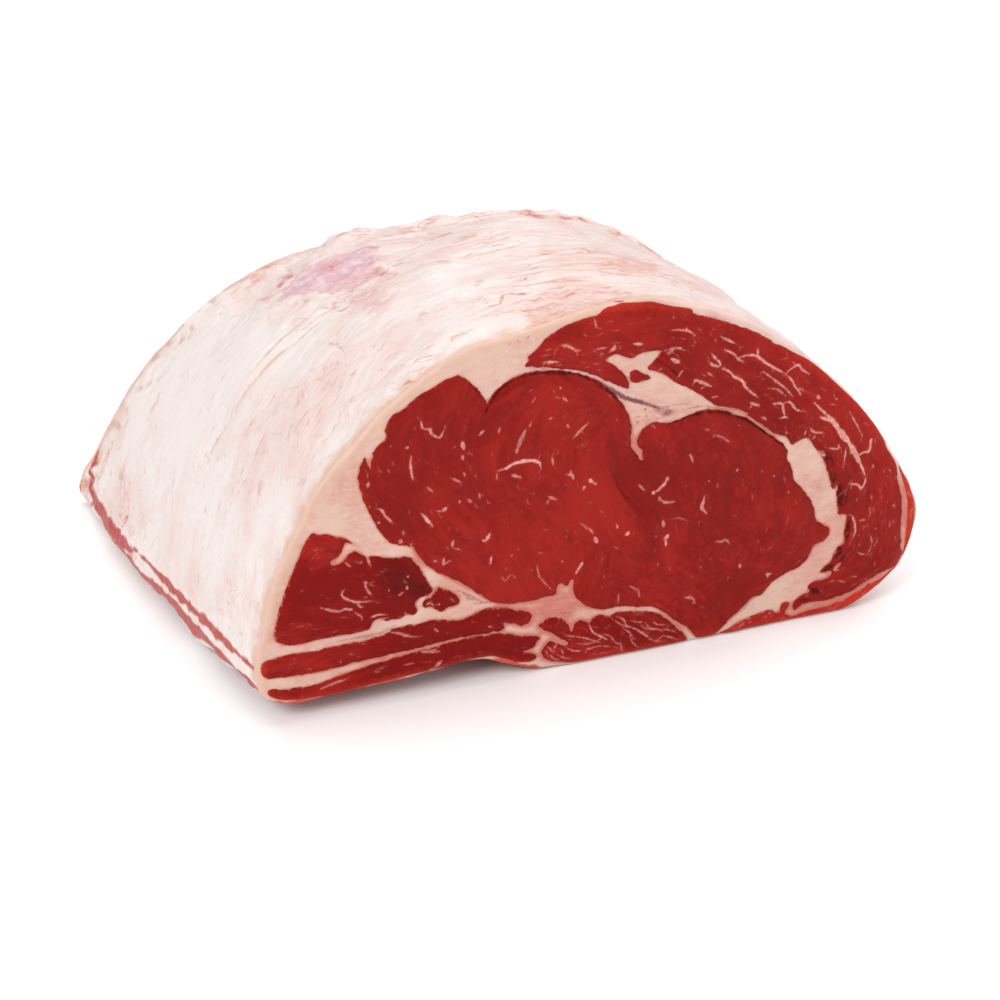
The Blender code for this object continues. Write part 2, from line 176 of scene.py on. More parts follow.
# Marbling: width, paleness, then the points that the streak runs through
EYE_MARBLING = [
    (1.4, 1, (-32.3, 84.3), (-29, 84.7), (-26.3, 86), (-23, 86.3), (-19, 86), (-16.3, 84.3), (-16, 81.7)),
    (0.6, 0.5, (-32.3, 84), (-32.6, 81)), (1.7, 0.45, (-21.7, 98.3), (-23.6, 94.5), (-25, 91)),
    (1.3, 0.7, (-24.6, 92), (-25.4, 89.6)), (0.9, 0.5, (-20.5, 99), (-19.6, 101)),
    (0.9, 0.75, (-61.3, 109.3), (-60, 107.7), (-59.3, 105), (-57, 104.3), (-56, 102.3), (-53.3, 100.3), (-52, 102.3),
     (-51, 104.3)),
    (0.7, 0.5, (-56, 102.3), (-56.6, 104.8)), (0.9, 0.6, (-65.6, 98.4), (-64.4, 99)),
    (0.9, 0.8, (-63.7, 95.7), (-64, 91.7), (-63.3, 86.3)), (1.5, 0.8, (-45, 97.3), (-44.3, 94.3)),
    (1.1, 0.6, (-45, 92.6), (-45, 90.6)), (0.9, 0.6, (-39, 98.8), (-37.4, 100.4)),
    (0.8, 0.5, (-31.9, 98.6), (-31.3, 100.6)), (1.1, 0.7, (-79, 88.3), (-79.3, 86.3)),
    (0.5, 0.4, (-79, 92), (-79.4, 89)), (0.9, 0.75, (-77, 78), (-74.7, 77), (-73.3, 74.3), (-70.3, 71)),
    (0.9, 0.7, (-75.9, 72.1), (-75.5, 72.6)), (1.2, 0.9, (-60.3, 73), (-58.3, 70.3), (-56, 67)),
    (1.3, 0.75, (-52.7, 72.3), (-51, 73.7)), (0.7, 0.5, (-54.5, 73), (-52.7, 72.3)),
    (0.9, 0.5, (-49.7, 85), (-45.7, 82.3)), (0.9, 0.55, (-45, 86.3), (-44, 84)),
    (0.8, 0.45, (-58.3, 83), (-55.7, 80.3)), (0.9, 0.5, (-46.3, 75.6), (-46.1, 74.4)),
    (0.9, 0.5, (-43, 75.3), (-41.7, 73.7)), (0.9, 0.55, (-39, 77), (-38.7, 74.7)),
    (2, 0.5, (-68.6, 63.6), (-67.2, 63.4)), (1.4, 0.75, (-64.3, 61.8), (-63.8, 61.7)),
    (0.9, 0.45, (-67, 67.6), (-67, 66)), (1, 0.6, (-27, 81.7), (-24.3, 80.7)),
    (0.9, 0.6, (-24.3, 80.9), (-23.2, 79.7)), (1.1, 0.7, (2.3, 96.7), (-1, 94), (-3.7, 91.7)),
    (0.9, 0.6, (-6, 97.3), (-5.3, 95.7)), (0.9, 0.55, (-9.3, 112.3), (-8.7, 111.3)),
    (0.9, 0.55, (-8.3, 108.3), (-6.3, 106.3)), (0.7, 0.4, (-11, 109), (-9, 107.6)),
    (1, 0.6, (-11.7, 86.3), (-11.3, 83)), (0.8, 0.5, (-13.4, 100.6), (-11.8, 101.2)),
    (1, 0.7, (-6.3, 78.3), (-4, 77.7), (-3.3, 75.7)), (0.8, 0.5, (-4.6, 79.6), (-4.2, 77.6)),
    (1.4, 0.9, (2.3, 75), (4, 73.7)), (0.7, 0.5, (4, 73.7), (5.6, 72.3)), (1.1, 0.6, (1.3, 72.7), (0.3, 71.3)),
    (1, 0.6, (-13, 71), (-9.7, 69)), (0.8, 0.4, (-13, 69.6), (-13.2, 67.8)),
    (1.2, 0.85, (33.7, 70.3), (31.7, 67.3), (27.7, 65)), (1.9, 0.95, (28.4, 65.5), (27.5, 65)),
    (1.7, 0.7, (33.9, 70.2), (32.8, 68.8)), (0.9, 0.65, (21.7, 69.7), (24.7, 66.3)),
    (0.9, 0.6, (42, 77.7), (43.7, 74)), (0.8, 0.35, (50.3, 84.3), (54.4, 82.4), (58.3, 79.3)),
    (0.6, 0.35, (47.6, 86.6), (49.4, 86.3)), (1, 0.65, (30.3, 62.7), (32.3, 60.7), (36.3, 60)),
    (1, 0.5, (30.1, 63.4), (30.5, 61.6)), (1.2, 0.75, (48.3, 60.7), (47.9, 58), (47.3, 56), (49.7, 52.7)),
    (0.9, 0.35, (-0.7, 58.3), (3.7, 54.7)), (1.4, 0.9, (5, 52), (6.3, 49)), (0.9, 0.5, (3.2, 55.4), (4.6, 53)),
    (0.9, 0.5, (13.7, 55.3), (14.3, 53)), (2, 0.9, (17.7, 51), (19, 50.5)), (1, 0.7, (19, 51.4), (17, 49.8)),
    (1.2, 0.75, (32.3, 53.3), (32.7, 50.3)), (0.9, 0.55, (29.5, 47.6), (29.9, 46.9)),
    (1.7, 0.9, (34.8, 47), (33.6, 45.4)), (1, 0.8, (33.7, 45.6), (33.7, 42.6)),
    (0.8, 0.7, (32.8, 45.2), (33.4, 46.4)), (0.7, 0.35, (35, 53), (38.3, 53), (42.3, 51.3)),
    (0.9, 0.45, (-7.5, 44.6), (-7.1, 44)), (1.1, 0.8, (0.3, 42), (-2, 38)), (1.2, 0.8, (0.5, 42.6), (0.3, 40.8)),
    (0.7, 0.55, (-17, 45.3), (-16.3, 40.7), (-13.3, 36), (-10.7, 33)), (0.8, 0.5, (23, 27.3), (23.7, 23.7)),
    (0.7, 0.4, (19.6, 29), (23, 26.4)), (0.8, 0.5, (53, 41), (56.4, 40.2), (58, 40.7), (60.3, 38)),
    (1.7, 0.8, (64, 29), (64.6, 28.8)), (1, 0.6, (64.3, 29.4), (64.5, 27.6)),
    (1.1, 0.65, (75.7, 22.7), (78.3, 22.7)), (0.9, 0.6, (76.2, 23.6), (76.6, 21)),
    (1, 0.6, (82.8, 55.6), (83.3, 55.4)), (0.9, 0.5, (76.3, 63.4), (76.9, 63)),
    (0.9, 0.45, (61, 68.6), (61.8, 67.8)), (0.7, 0.4, (49.4, 66.2), (50.4, 65.8)),
    (0.9, 0.6, (41.7, 20), (45, 19), (46.3, 17.3)), (0.7, 0.3, (45, 17), (47, 16.6)),
    (1.7, 0.8, (-36.3, 58), (-34.7, 60.7)), (0.9, 0.7, (-37.8, 58.5), (-36.4, 57.6)),
    (1.1, 0.7, (-34.3, 51.3), (-35, 48.3)), (0.6, 0.4, (-31, 42.7), (-29, 40.7), (-27, 42.7), (-25, 40.7)),
    (0.9, 0.4, (-27, 51), (-26.8, 50.2)), (1, 0.6, (-52.3, 54.3), (-52.4, 51.3)),
    (0.8, 0.6, (-52.4, 51.6), (-49.6, 52.9)), (1, 0.6, (-49, 60.7), (-49.3, 58)),
    (0.7, 0.5, (-49.3, 58), (-45.7, 56.3)), (0.9, 0.5, (-56.3, 54), (-54.7, 53.3)),
    (0.6, 0.4, (12.6, 32.6), (13, 32)), (0.6, 0.35, (30.6, 36), (31, 34.6)), (0.7, 0.4, (15.2, 26.6), (15.2, 22.6)),
]
CAP_MARBLING = [
    (0.8, 0.7, (-9.7, 127.5), (-7, 127), (-3.7, 125), (-2.7, 123)), (0.8, 0.6, (-3.7, 125), (-1.6, 124.4)),
    (0.9, 0.5, (3.7, 135), (4.3, 131.7)), (0.8, 0.8, (-15, 120.2), (-15, 121.7), (-14, 122), (-9.3, 121.3)),
    (0.7, 0.6, (4, 124), (9, 123.7)), (1.4, 0.85, (11.7, 124.2), (11.1, 122.2)),
    (0.8, 0.7, (11.4, 123.5), (9.6, 121.8)), (1.1, 0.8, (18.5, 123.8), (22, 123.3)),
    (0.8, 0.75, (33, 126.7), (39, 125.7), (42, 123.3)), (0.7, 0.6, (39, 125.7), (38.6, 127.2)),
    (1.6, 0.85, (33, 116.3), (35, 115), (36.5, 114)), (0.7, 0.6, (30, 119), (34, 120), (38, 118.6)),
    (0.9, 0.8, (48.5, 116), (50.5, 113.5), (52.3, 111.5), (52.5, 110.3)),
    (1, 0.8, (47.5, 113), (49.7, 111), (52.3, 110)), (0.6, 0.7, (32, 117.6), (33.6, 119.4), (37, 119.8)),
    (0.5, 0.6, (27.4, 110.6), (29.6, 113.2)), (0.5, 0.7, (36, 108), (37.4, 110.4), (38.6, 110.8)),
    (0.5, 0.7, (42, 104.4), (43, 106.2), (44.4, 106.2)), (0.5, 0.6, (45.4, 102.4), (47.4, 103.6)),
    (0.5, 0.6, (50, 98.4), (52.4, 98.6)), (0.6, 0.7, (88.6, 77), (88.8, 79.2)), (0.5, 0.6, (92, 75), (93, 76.8)),
    (0.6, 0.7, (81, 79), (80.6, 80.8)), (0.5, 0.6, (65, 91), (66.2, 93.4)),
    (1.1, 0.9, (52.7, 109.3), (55.7, 108), (58.3, 105.3), (61.7, 103), (63.7, 99.7), (68.3, 95.7)),
    (0.8, 0.8, (52, 121.7), (55, 119.7), (59, 117.3)),
    (0.9, 0.85, (54, 116.3), (57.7, 114), (59.7, 111.7), (62.3, 110)),
    (1.1, 0.9, (60.3, 112.3), (63.7, 112.7), (67, 111.7), (70.3, 109), (75, 105.7), (79, 103)),
    (0.9, 0.8, (79, 103), (81.7, 100.3), (83.7, 97), (86.3, 93.3)), (0.7, 0.7, (67.3, 114.7), (67.3, 112)),
    (0.9, 0.85, (79, 103), (81.7, 105), (84.3, 105.7), (85.7, 103.7), (89, 101.3)),
    (1.1, 0.85, (42.3, 106.7), (45.7, 105), (49.7, 102.7)), (0.8, 0.7, (47.3, 108.7), (50, 106.7)),
    (0.8, 0.7, (70, 105.3), (74.3, 101.7), (79, 97.7), (83, 93.3)), (0.7, 0.5, (72, 98.6), (76, 97.6), (80, 94)),
    (1, 0.8, (65.3, 94), (69, 92.3)), (1.1, 0.85, (74.3, 92.3), (78, 91.7), (79, 88.3), (79.7, 86.3)),
    (0.8, 0.8, (77, 86), (79.7, 86.3), (81, 85.3)), (0.9, 0.8, (78, 91.7), (81.7, 91.5), (84.3, 88.3), (87.7, 87)),
    (0.9, 0.7, (70, 88), (72.3, 86.3)), (1, 0.9, (91.7, 89.7), (95, 86.3), (97.7, 83.7)),
    (2, 0.95, (97, 84.4), (101, 79.7), (104.3, 75)), (2.6, 0.95, (101.5, 79), (104.3, 75), (107.7, 71)),
    (2.2, 0.95, (106.5, 72.4), (110.3, 66.3), (113.2, 61)), (1.2, 0.9, (112, 63.4), (113.7, 60), (115.3, 56.7)),
    (0.9, 0.85, (115.2, 57), (115.7, 54), (114, 51.3), (112.3, 53.3), (108.3, 54.3)),
    (1.2, 0.85, (94.3, 83.7), (97.7, 82), (99.7, 81)),
    (1, 0.85, (111.7, 65), (113.7, 66.3), (116.3, 66.3), (116.7, 69.7), (117.3, 71)),
    (1.4, 0.8, (116.4, 69.6), (117, 71.2)), (0.9, 0.8, (99, 70.7), (101, 70), (102.7, 69.7), (103, 71.7)),
    (0.7, 0.7, (106.3, 69.7), (105.7, 65.7), (105.3, 61.7)), (1.2, 0.7, (92.7, 92.4), (93.9, 91)),
    (1, 0.6, (100.6, 90.2), (101.4, 89.2)), (0.8, 0.6, (106.7, 83.7), (110.3, 77.7), (113, 73)),
    (0.9, 0.6, (90.3, 80.3), (92.3, 78), (96.3, 77.3)), (0.6, 0.8, (95.3, 69.7), (97.7, 66.3)),
    (0.6, 0.7, (96.4, 70), (97.8, 67.4)),
    (0.9, 0.7, (109.4, 41), (111, 40.6), (112.2, 37.3), (112.6, 33.3), (111.7, 30.7)),
    (0.8, 0.6, (114.3, 38), (117, 38)), (0.9, 0.6, (125.6, 56.9), (126.4, 56.4)),
    (0.8, 0.6, (128.3, 42), (129.7, 40.7)), (0.5, 0.4, (119, 32), (120.6, 27), (118.6, 22)),
    (0.6, 0.5, (114, 25), (116, 23.6), (119, 22.6)), (0.9, 0.6, (105, 20), (107.4, 21), (105, 18.6), (107, 18.6)),
    (0.6, 0.4, (112, 14.6), (115, 14.2)), (0.6, 0.45, (118.6, 13), (119.6, 10.8)),
    (0.5, 0.4, (104, 25), (106.4, 26.6)), (0.5, 0.4, (122, 49.6), (122.6, 48.6)),
    (0.5, 0.4, (118.8, 47.6), (119.4, 46)), (0.6, 0.4, (107, 14), (110, 12.6)), (0.6, 0.4, (99, 11.6), (100.6, 10)),
    (0.7, 0.5, (118, 60.6), (119, 59)),
]
LIP_MARBLING = [
    (0.9, 0.75, (-89, 49.3), (-89.7, 46.7), (-85.7, 44), (-83, 43.3), (-77.7, 42.7)),
    (0.8, 0.75, (-84.7, 44), (-83.7, 41.7), (-82, 41)), (0.8, 0.7, (-81.7, 50), (-80.3, 46.7), (-78.7, 44.7)),
    (0.8, 0.6, (-82, 51), (-80.4, 50.2)), (1.1, 0.5, (-97.7, 44), (-91.7, 41.3), (-87.7, 41.7)),
    (0.9, 0.7, (-89.7, 42), (-85.7, 40.7)), (0.6, 0.6, (-85.7, 40), (-83, 37.3), (-83, 36)),
    (0.8, 0.6, (-65.9, 50), (-65.3, 49.4)), (0.7, 0.6, (-66, 46), (-66, 44.6)), (1, 0.6, (-69.4, 43), (-67.4, 44)),
    (0.7, 0.5, (-73, 46), (-72.6, 45.6)), (0.9, 0.8, (-80, 36.3), (-77, 36.8), (-73.7, 36.3)),
    (0.8, 0.7, (-79, 32.7), (-75, 32.9)), (0.8, 0.7, (-67.3, 36), (-65.7, 33.3)),
    (0.8, 0.7, (-88, 59.3), (-86.3, 57.3)), (0.8, 0.8, (-80.3, 60), (-79, 56)), (0.5, 0.5, (-82.6, 59), (-82, 57.8)),
    (0.7, 0.5, (-77, 34.6), (-73, 34.8)), (0.9, 0.9, (-91.2, 21), (-90.8, 20.9)),
    (0.8, 0.45, (-56.3, 27.3), (-54.3, 25)), (0.5, 0.4, (-88, 23.6), (-86, 23)),
    (1, 0.7, (-72, 28.5), (-69, 27.8), (-66.4, 26.2), (-63.4, 25.1)), (0.6, 0.5, (-63.4, 25.1), (-60.6, 24.7)),
    (1.1, 0.5, (-61.7, 18.7), (-58.3, 18), (-54, 17.3)), (0.7, 0.6, (-58, 18), (-54.6, 18.4)),
    (1.4, 0.6, (-58.7, 10), (-56.4, 11.4)), (1.9, 0.6, (-56.4, 11.4), (-53.7, 13.4)),
    (0.8, 0.5, (-99, 11.6), (-94, 12.8), (-88, 13.8)), (0.7, 0.3, (-78, 15), (-74, 15.4)),
    (0.6, 0.3, (-68, 14.6), (-64, 15)), (0.7, 0.7, (-57.4, 38.4), (-56.4, 36)),
    (0.9, 0.7, (-54.6, 36.6), (-54, 36.2)), (0.8, 0.6, (-58.8, 37), (-57, 37.6)), (0.5, 0.5, (-50, 38), (-48.4, 36)),
    (0.8, 0.5, (-36, 24), (-34, 23.4)),
]
RIB_MARBLING = [
    (0.7, 0.75, (3.7, 16.7), (5, 13.3), (8.3, 10.7), (11, 8.7)),
    (0.6, 0.7, (11, 18.7), (16.3, 14), (21.7, 11.3), (25.7, 8), (30.3, 4), (35, 3.3)),
    (0.6, 0.65, (25.7, 13.3), (28.3, 10), (31.7, 8.7), (33.7, 7.3)), (0.6, 0.6, (-5, 13.3), (1.7, 11.3), (8.3, 8)),
    (0.5, 0.6, (19.7, 9.3), (21.7, 4.7), (25.7, 1.3)), (0.7, 0.5, (16.3, 6.7), (17.7, 0.7)),
    (0.6, 0.6, (35, 5.3), (41.7, 1.3)), (0.5, 0.6, (14, 17.6), (17, 16), (18.6, 13)),
    (0.5, 0.55, (17, 12.6), (20, 9.6), (22, 6)), (0.5, 0.5, (8, 12), (12, 10), (14, 7), (17, 5)),
    (0.5, 0.5, (2, 6), (8, 6.6), (13, 5)), (0.5, 0.5, (27, 5.6), (31, 4.2), (34, 5.4), (38, 3)),
    (0.5, 0.5, (23.6, 12.6), (25.8, 10.6), (29, 9)), (0.6, 0.5, (-1, 9.6), (4, 8.4), (9, 10)),
    (0.5, 0.45, (20, 15), (23, 13.6), (25.7, 13.3)), (0.5, 0.5, (6, 3.6), (11, 3), (15, 3.4)),
    (0.8, 0.6, (-10, 9), (-8.6, 10.4)), (0.6, 0.5, (-13, 8.6), (-12, 5.6)),
    (0.7, 0.6, (-9, 6.6), (-6, 4.4), (-3.4, 3.8)), (0.6, 0.6, (-5.6, 9.2), (-3, 7), (1, 6)),
    (0.7, 0.5, (-11.6, 7), (-10.2, 5), (-8, 4.2)), (0.9, 0.5, (-14, 4.6), (-10, 3), (-5, 2.2)),
    (0.6, 0.45, (-7.4, 8.4), (-6.2, 6.2)), (0.5, 0.5, (-12.6, 10.4), (-10, 7.4)),
    (0.5, 0.5, (33, 8.6), (37, 7), (40, 5.2)), (0.5, 0.5, (29, 13), (31, 11), (35, 10)),
]

# Fibre direction in the cut muscles: x, h, angle from the x axis in degrees
EYE_GRAIN = [
    (-60, 105, 75), (-30, 106, 38), (-62, 90, 100), (-45, 96, 75), (-22, 95, 62), (0, 95, 48), (0, 110, -30),
    (-75, 80, -60), (-60, 72, -52), (-50, 84, -35), (-30, 75, -55), (-12, 70, -50), (-50, 55, -50), (-30, 50, -62),
    (-16, 40, -60), (5, 52, -60), (-8, 60, -55), (5, 38, 65), (10, 78, -70), (14, 66, -55), (25, 58, -40),
    (30, 66, -50), (30, 80, -75), (20, 30, -40), (34, 45, -85), (45, 75, -65), (50, 85, -35), (48, 57, 95),
    (60, 40, -30), (60, 65, 90), (64, 28, 80), (77, 22, 10), (75, 60, 95), (88, 40, 80), (40, 20, -30),
    (55, 10, -60), (70, 78, -45), (90, 28, 20),
]
CAP_GRAIN = [
    (-15, 126, 10), (0, 124, -20), (10, 130, 10), (25, 126, -5), (15, 113, -40), (35, 115, -35), (50, 112, -50),
    (60, 116, -35), (65, 103, -40), (80, 100, -45), (95, 90, -50), (105, 76, -55), (100, 68, -60), (115, 62, -62),
    (115, 45, -85), (124, 50, -80), (118, 30, -100), (128, 25, -95), (110, 15, 20), (95, 9, 5), (122, 14, 30),
]
LIP_GRAIN = [
    (-105, 60, 60), (-90, 66, -25), (-75, 52, -15), (-95, 45, -20), (-65, 45, -60), (-80, 35, 5), (-52, 38, -40),
    (-100, 23, 3), (-60, 25, 4), (-30, 25, -8), (-100, 11, 6), (-60, 15, 5), (-25, 13, -20),
]
RIB_GRAIN = [(-12, 18, -35), (0, 12, -30), (15, 12, -45), (30, 8, -30), (40, 4, -40), (-10, 7, 20), (10, 3, 5)]
BACK_GRAIN = [(70, 3, 15), (100, 2, 5), (125, 9, 35), (138, 30, -85), (134, 50, -60)]

# Broad darker (-) and brighter (+) areas of the lean: x, h, reach, amount. In the eye, the darker areas at 20, 74
# and 27, 62 are painted shade in the hollow beside the fold, and the brighter ones at 3, 70 and 14, 60 are painted
# light on its raised side
EYE_TONE_AND_FOLD_SHADING = [
    (-72, 74, 10, -0.55), (-66, 88, 12, -0.35), (-58, 110, 12, -0.15), (-40, 104, 10, -0.25), (-20, 108, 14, 0.15),
    (-5, 100, 12, 0.2), (20, 74, 9, -0.75), (27, 62, 8, -0.45), (3, 70, 12, 0.5), (14, 60, 10, 0.45),
    (-12, 48, 16, 0.45), (-40, 60, 14, 0.15), (-28, 36, 8, 0.5), (50, 68, 16, -0.35), (55, 44, 12, -0.2),
    (75, 60, 12, -0.15), (62, 20, 10, -0.35), (85, 30, 9, -0.2), (40, 30, 14, 0.1), (45, 84, 9, 0.1),
    (90, 45, 8, 0.1),
]
CAP_TONE = [
    (5, 128, 12, 0.15), (25, 130, 10, 0.1), (40, 118, 10, -0.3), (60, 108, 12, -0.25), (75, 96, 10, -0.3),
    (100, 92, 9, 0.35), (85, 106, 8, 0.4), (70, 115, 6, 0.4), (110, 80, 8, 0.4), (118, 70, 6, 0.3),
    (110, 55, 10, -0.15), (100, 9, 4, -0.35), (106, 24, 5, -0.3), (108, 46, 4, -0.25), (99, 64, 4, -0.25),
    (124, 40, 9, 0.1), (120, 20, 8, -0.2), (-12, 125, 6, 0.2), (12, 136, 7, 0.35), (50, 124, 6, 0.2),
    (78, 85, 3.5, -1),
]
LIP_TONE = [
    (-66, 50, 10, -1.2), (-75, 56, 8, -0.8), (-90, 52, 9, -0.5), (-60, 42, 6, -0.9), (-94, 66, 7, 0.2),
    (-92, 36, 8, -0.3), (-75, 38, 7, -0.6), (-105, 50, 9, -0.6), (-100, 22, 9, 0.1), (-64, 24, 18, -0.5),
    (-28, 26, 8, -0.3), (-20, 24, 3, 0.3), (-45, 15, 14, -0.9), (-24, 13, 6, -0.8), (-72, 16, 9, -0.6),
    (-80, 11, 16, 0.2), (-50, 10.4, 8, 0.4), (-66, 10, 8, 0.4), (-52, 37, 4, -0.3),
]
RIB_TONE = [
    (12, 14, 8, -0.4), (25, 9, 8, -0.4), (-10, 20, 4, -0.5), (-10, 8, 4, 0.3), (3, 3, 6, 0.2), (14, 1.5, 6, 0.3),
    (38, 5, 4, -0.2),
]
BACK_TONE = [
    (72, 3, 10, -0.9), (96, 2, 8, -0.5), (112, 4, 7, 0.6), (126, 10, 8, 0.5), (137, 32, 20, 0.6),
    (86, 6.5, 2.4, -0.9),
]

MUSCLES = {
    "eye_muscle": ([EYE], EYE_MARBLING, EYE_GRAIN, EYE_TONE_AND_FOLD_SHADING, 0.42),
    "cap_muscle": ([CAP, CAP_ISLAND], CAP_MARBLING, CAP_GRAIN, CAP_TONE, 0.40),
    "lip_muscles": ([TAIL, TAIL_SMALL, STRIP_UPPER, STRIP_LOWER], LIP_MARBLING, LIP_GRAIN, LIP_TONE, 0.38),
    "rib_muscles": ([RIB_MAIN], RIB_MARBLING, RIB_GRAIN, RIB_TONE, 0.34),
    "back_muscles": ([UNDER_BAND, BACK_RIM], [], BACK_GRAIN, BACK_TONE, 0.36),
}
ALL_LEAN = [loop for loops, *_ in MUSCLES.values() for loop in loops]

# Creases of the near cut: depth, width, points
CUT_CREASES = [
    (1.5, 1.7, (12.6, 80.5), (13, 75.7), (15, 71), (16.8, 67.7), (20.2, 63.7), (23.8, 59.6), (31, 56)),
    (-0.9, 2, (8.2, 81), (9.2, 75.4), (11.2, 70.2), (13, 66.6), (16.3, 62.6), (19.8, 58.6)),
    (0.5, 0.6, (64.5, 88.4), (70, 84.4), (75, 80.3), (79.6, 76.6)), (0.35, 1, (-76, 84), (-70, 80), (-64, 74)),
    (0.3, 1.2, (-52, 108), (-47, 100), (-46, 92)), (0.3, 1.2, (-30, 78), (-18, 70), (-10, 60)),
    (0.3, 1.2, (-26, 44), (-20, 38), (-14, 33)), (0.35, 1.3, (40, 80), (46, 72), (50, 62)),
    (0.3, 1, (60, 52), (61, 44), (58, 34)), (0.25, 1.2, (8, 46), (14, 38), (24, 30)),
]
# Painted shade: dark lines in the clefts where one muscle overhangs its neighbour: width, darkness, points
CLEFT_SHADE_LINES = [
    (1, 0.55, (-35.6, 108.6), (-34.4, 110.2), (-32.7, 112.8), (-29.8, 115), (-25.3, 117.3), (-21, 118.2)),
    (0.8, 0.6, (-25, 117.4), (-18, 118.1), (-10, 117.3), (-2, 115.2), (3.4, 112.5), (7.2, 109.8)),
    (0.8, 0.5, (-35.7, 109.2), (-36.6, 107.4), (-38, 105.6)),
    (2, 0.2, (-33.4, 110.4), (-29, 113.6), (-24, 115.8), (-18, 116.6)),
    (0.9, 0.6, (4, 111.3), (9.2, 107.5), (12.3, 104.2), (15.4, 99.8)),
    (0.8, 0.5, (17.9, 95.6), (18.8, 91.5), (18.9, 87)),
    (0.8, 0.5, (-36.6, 110.6), (-38, 113.2), (-40.2, 116), (-42, 117.8)),
    (0.8, 1, (62.6, 88.4), (70, 83.1), (75, 79), (80, 74.8)), (0.6, 0.8, (34, 90.9), (44, 92.9), (54, 92), (63, 88)),
    (1.4, 0.6, (95.8, 71.4), (97.6, 68.2), (99.4, 63.8)), (1.7, 0.6, (101, 59.6), (102.6, 55.6)),
    (1.2, 0.5, (99, 69), (101.6, 63)), (2.2, 0.62, (105.4, 54.8), (105.4, 49.6), (106.4, 45.2)),
    (1.2, 0.5, (108, 52.6), (107.8, 46)), (1.8, 0.6, (110.2, 39.4), (109.8, 34), (109.8, 30.4)),
    (2.3, 0.6, (107.6, 28.4), (105.4, 23.6)), (1.4, 0.5, (109.6, 25), (107, 21.4)),
    (2, 0.6, (100.8, 19.2), (105, 20.8)), (2.3, 0.6, (95.2, 12.2), (99.6, 10.8)), (1.3, 0.5, (91.4, 8.6), (95, 8.4)),
    (1, 0.4, (101, 12.4), (104.6, 12)), (0.5, 0.6, (-84.7, 66.2), (-81.6, 64)),
    (0.6, 0.6, (28, 116.4), (33, 112.4), (38, 107.2)),
]
# Stains of the cut fat, by kind: width, strength, points; the dark red kind is blood, apart from the painted shade
# in the clefts noted below
FAT_STAINS = {"purple": [
    (1.7, 0.95, (1, 114.1), (6.4, 110.9), (11.3, 107.2), (16.1, 103.6), (21, 101.4), (26, 99.2), (31, 96.3),
     (34, 94.8)),
    (3, 0.45, (28, 97.2), (32, 95.4), (36, 95.2)),
    (0.8, 0.6, (38, 95.2), (45.6, 95.4), (51.6, 94), (56.5, 92.1), (61.9, 88.9)),
    (1.2, 0.45, (-92, 28.9), (-84, 28.7), (-76, 28.9), (-70, 30.8)),
], "pearl": [
    (1.3, 0.7, (-24, 120.2), (-15, 119.3), (-8, 118.1), (0, 115.4), (6, 112.1), (11, 109), (15, 106),
     (20, 103.4), (26, 101.2)),
    (1.2, 0.5, (-42, 119.4), (-39, 116.4), (-36.9, 113)), (1.2, 0.6, (-98, 29.2), (-86, 29.9), (-76, 30.4)),
], "blood_and_shade": [
    (0.5, 0.8, (17.4, 99.7), (18, 99.5)), (0.6, 0.9, (21.4, 95.5), (22.2, 95)),
    (0.6, 0.9, (24.2, 95.3), (25, 94.8)), (0.6, 0.8, (23.6, 98.2), (24.6, 97.8)),
    (0.7, 0.9, (20.6, 93.8), (21.6, 93.2)), (2.2, 0.55, (31.4, 94.6), (34.6, 95.6)),
    # The first line below, up from the eye's notch, is painted shade in the cleft there
    (0.6, 0.5, (-41.5, 117.8), (-38.8, 115), (-36.6, 111.4)), (0.75, 0.6, (-48, 41), (-42, 36.6), (-36.6, 33.2)),
    (0.75, 0.5, (-45, 37), (-40, 34.6), (-37, 33.4)), (0.75, 0.4, (-46, 39.4), (-41, 36), (-37.6, 34.6)),
    (0.75, 0.3, (-44, 38.6), (-40, 35.6)), (0.5, 0.6, (-42, 33.6), (-36, 33), (-32, 31.6)),
    (1, 0.3, (-8, 23), (-5, 22.6), (-2, 21.8)), (0.9, 0.25, (-4, 24.4), (0, 22.6)),
    (0.7, 0.3, (84, 14.4), (87, 14.4)), (0.8, 0.35, (26, 99.4), (31, 97.4), (37, 97.6), (42, 97)),
    (0.8, 0.3, (24, 93.6), (30, 93.4), (35, 93.8)), (0.9, 0.35, (66, 8), (70, 11)),
    # The two lines below, along the eye's top edge by the cap, are painted shade in that cleft
    (0.6, 0.5, (56, 93.2), (60, 91.6), (64, 89.6)), (0.7, 0.6, (65.4, 88.8), (70, 84.9), (75, 80.9), (78, 78.6)),
]}

# Pinker (+) and creamier (-) areas of the cut fat: x, h, reach, amount
FAT_TONE = [
    (-8, 25, 11, 1), (-24, 24, 8, 0.45), (-46, 38, 8, 0.35), (98, 36, 9, 0.12), (100, 52, 8, 0.02), (72, 14, 9, 0.2),
    (60, 8, 8, 0.3), (-85, 68, 8, 0.15), (-60, 56, 8, 0.25), (20, 108, 12, -0.05), (-105, 60, 14, 0.05),
    (134, 40, 14, 0.35), (110, 6, 10, 0.6), (126, 12, 9, 0.6), (92, 4, 8, 0.5), (-12, 6, 8, 0.4), (40, 6, 8, 0.3),
    (18, 88, 6, 0.15),
]

# The fat cap and the rib side run between these places of the near outline, and their hidden edges are
# tucked in to these heights
FAT_CAP_PLACES, FAT_CAP_TUCK = (0.0, 28.4), 22.0
RIB_SIDE_PLACES, RIB_SIDE_TUCK, RIB_SIDE_GAP = (28.2, 41.2), 15.0, 1.3
RIB_SIDE_GRAIN = [(0, 90, 80), (110, 90, 95), (230, 90, 85)]
BACK_SPAN = (245.0, 300.0)   # the marks on the fat get fainter between these distances round the roast

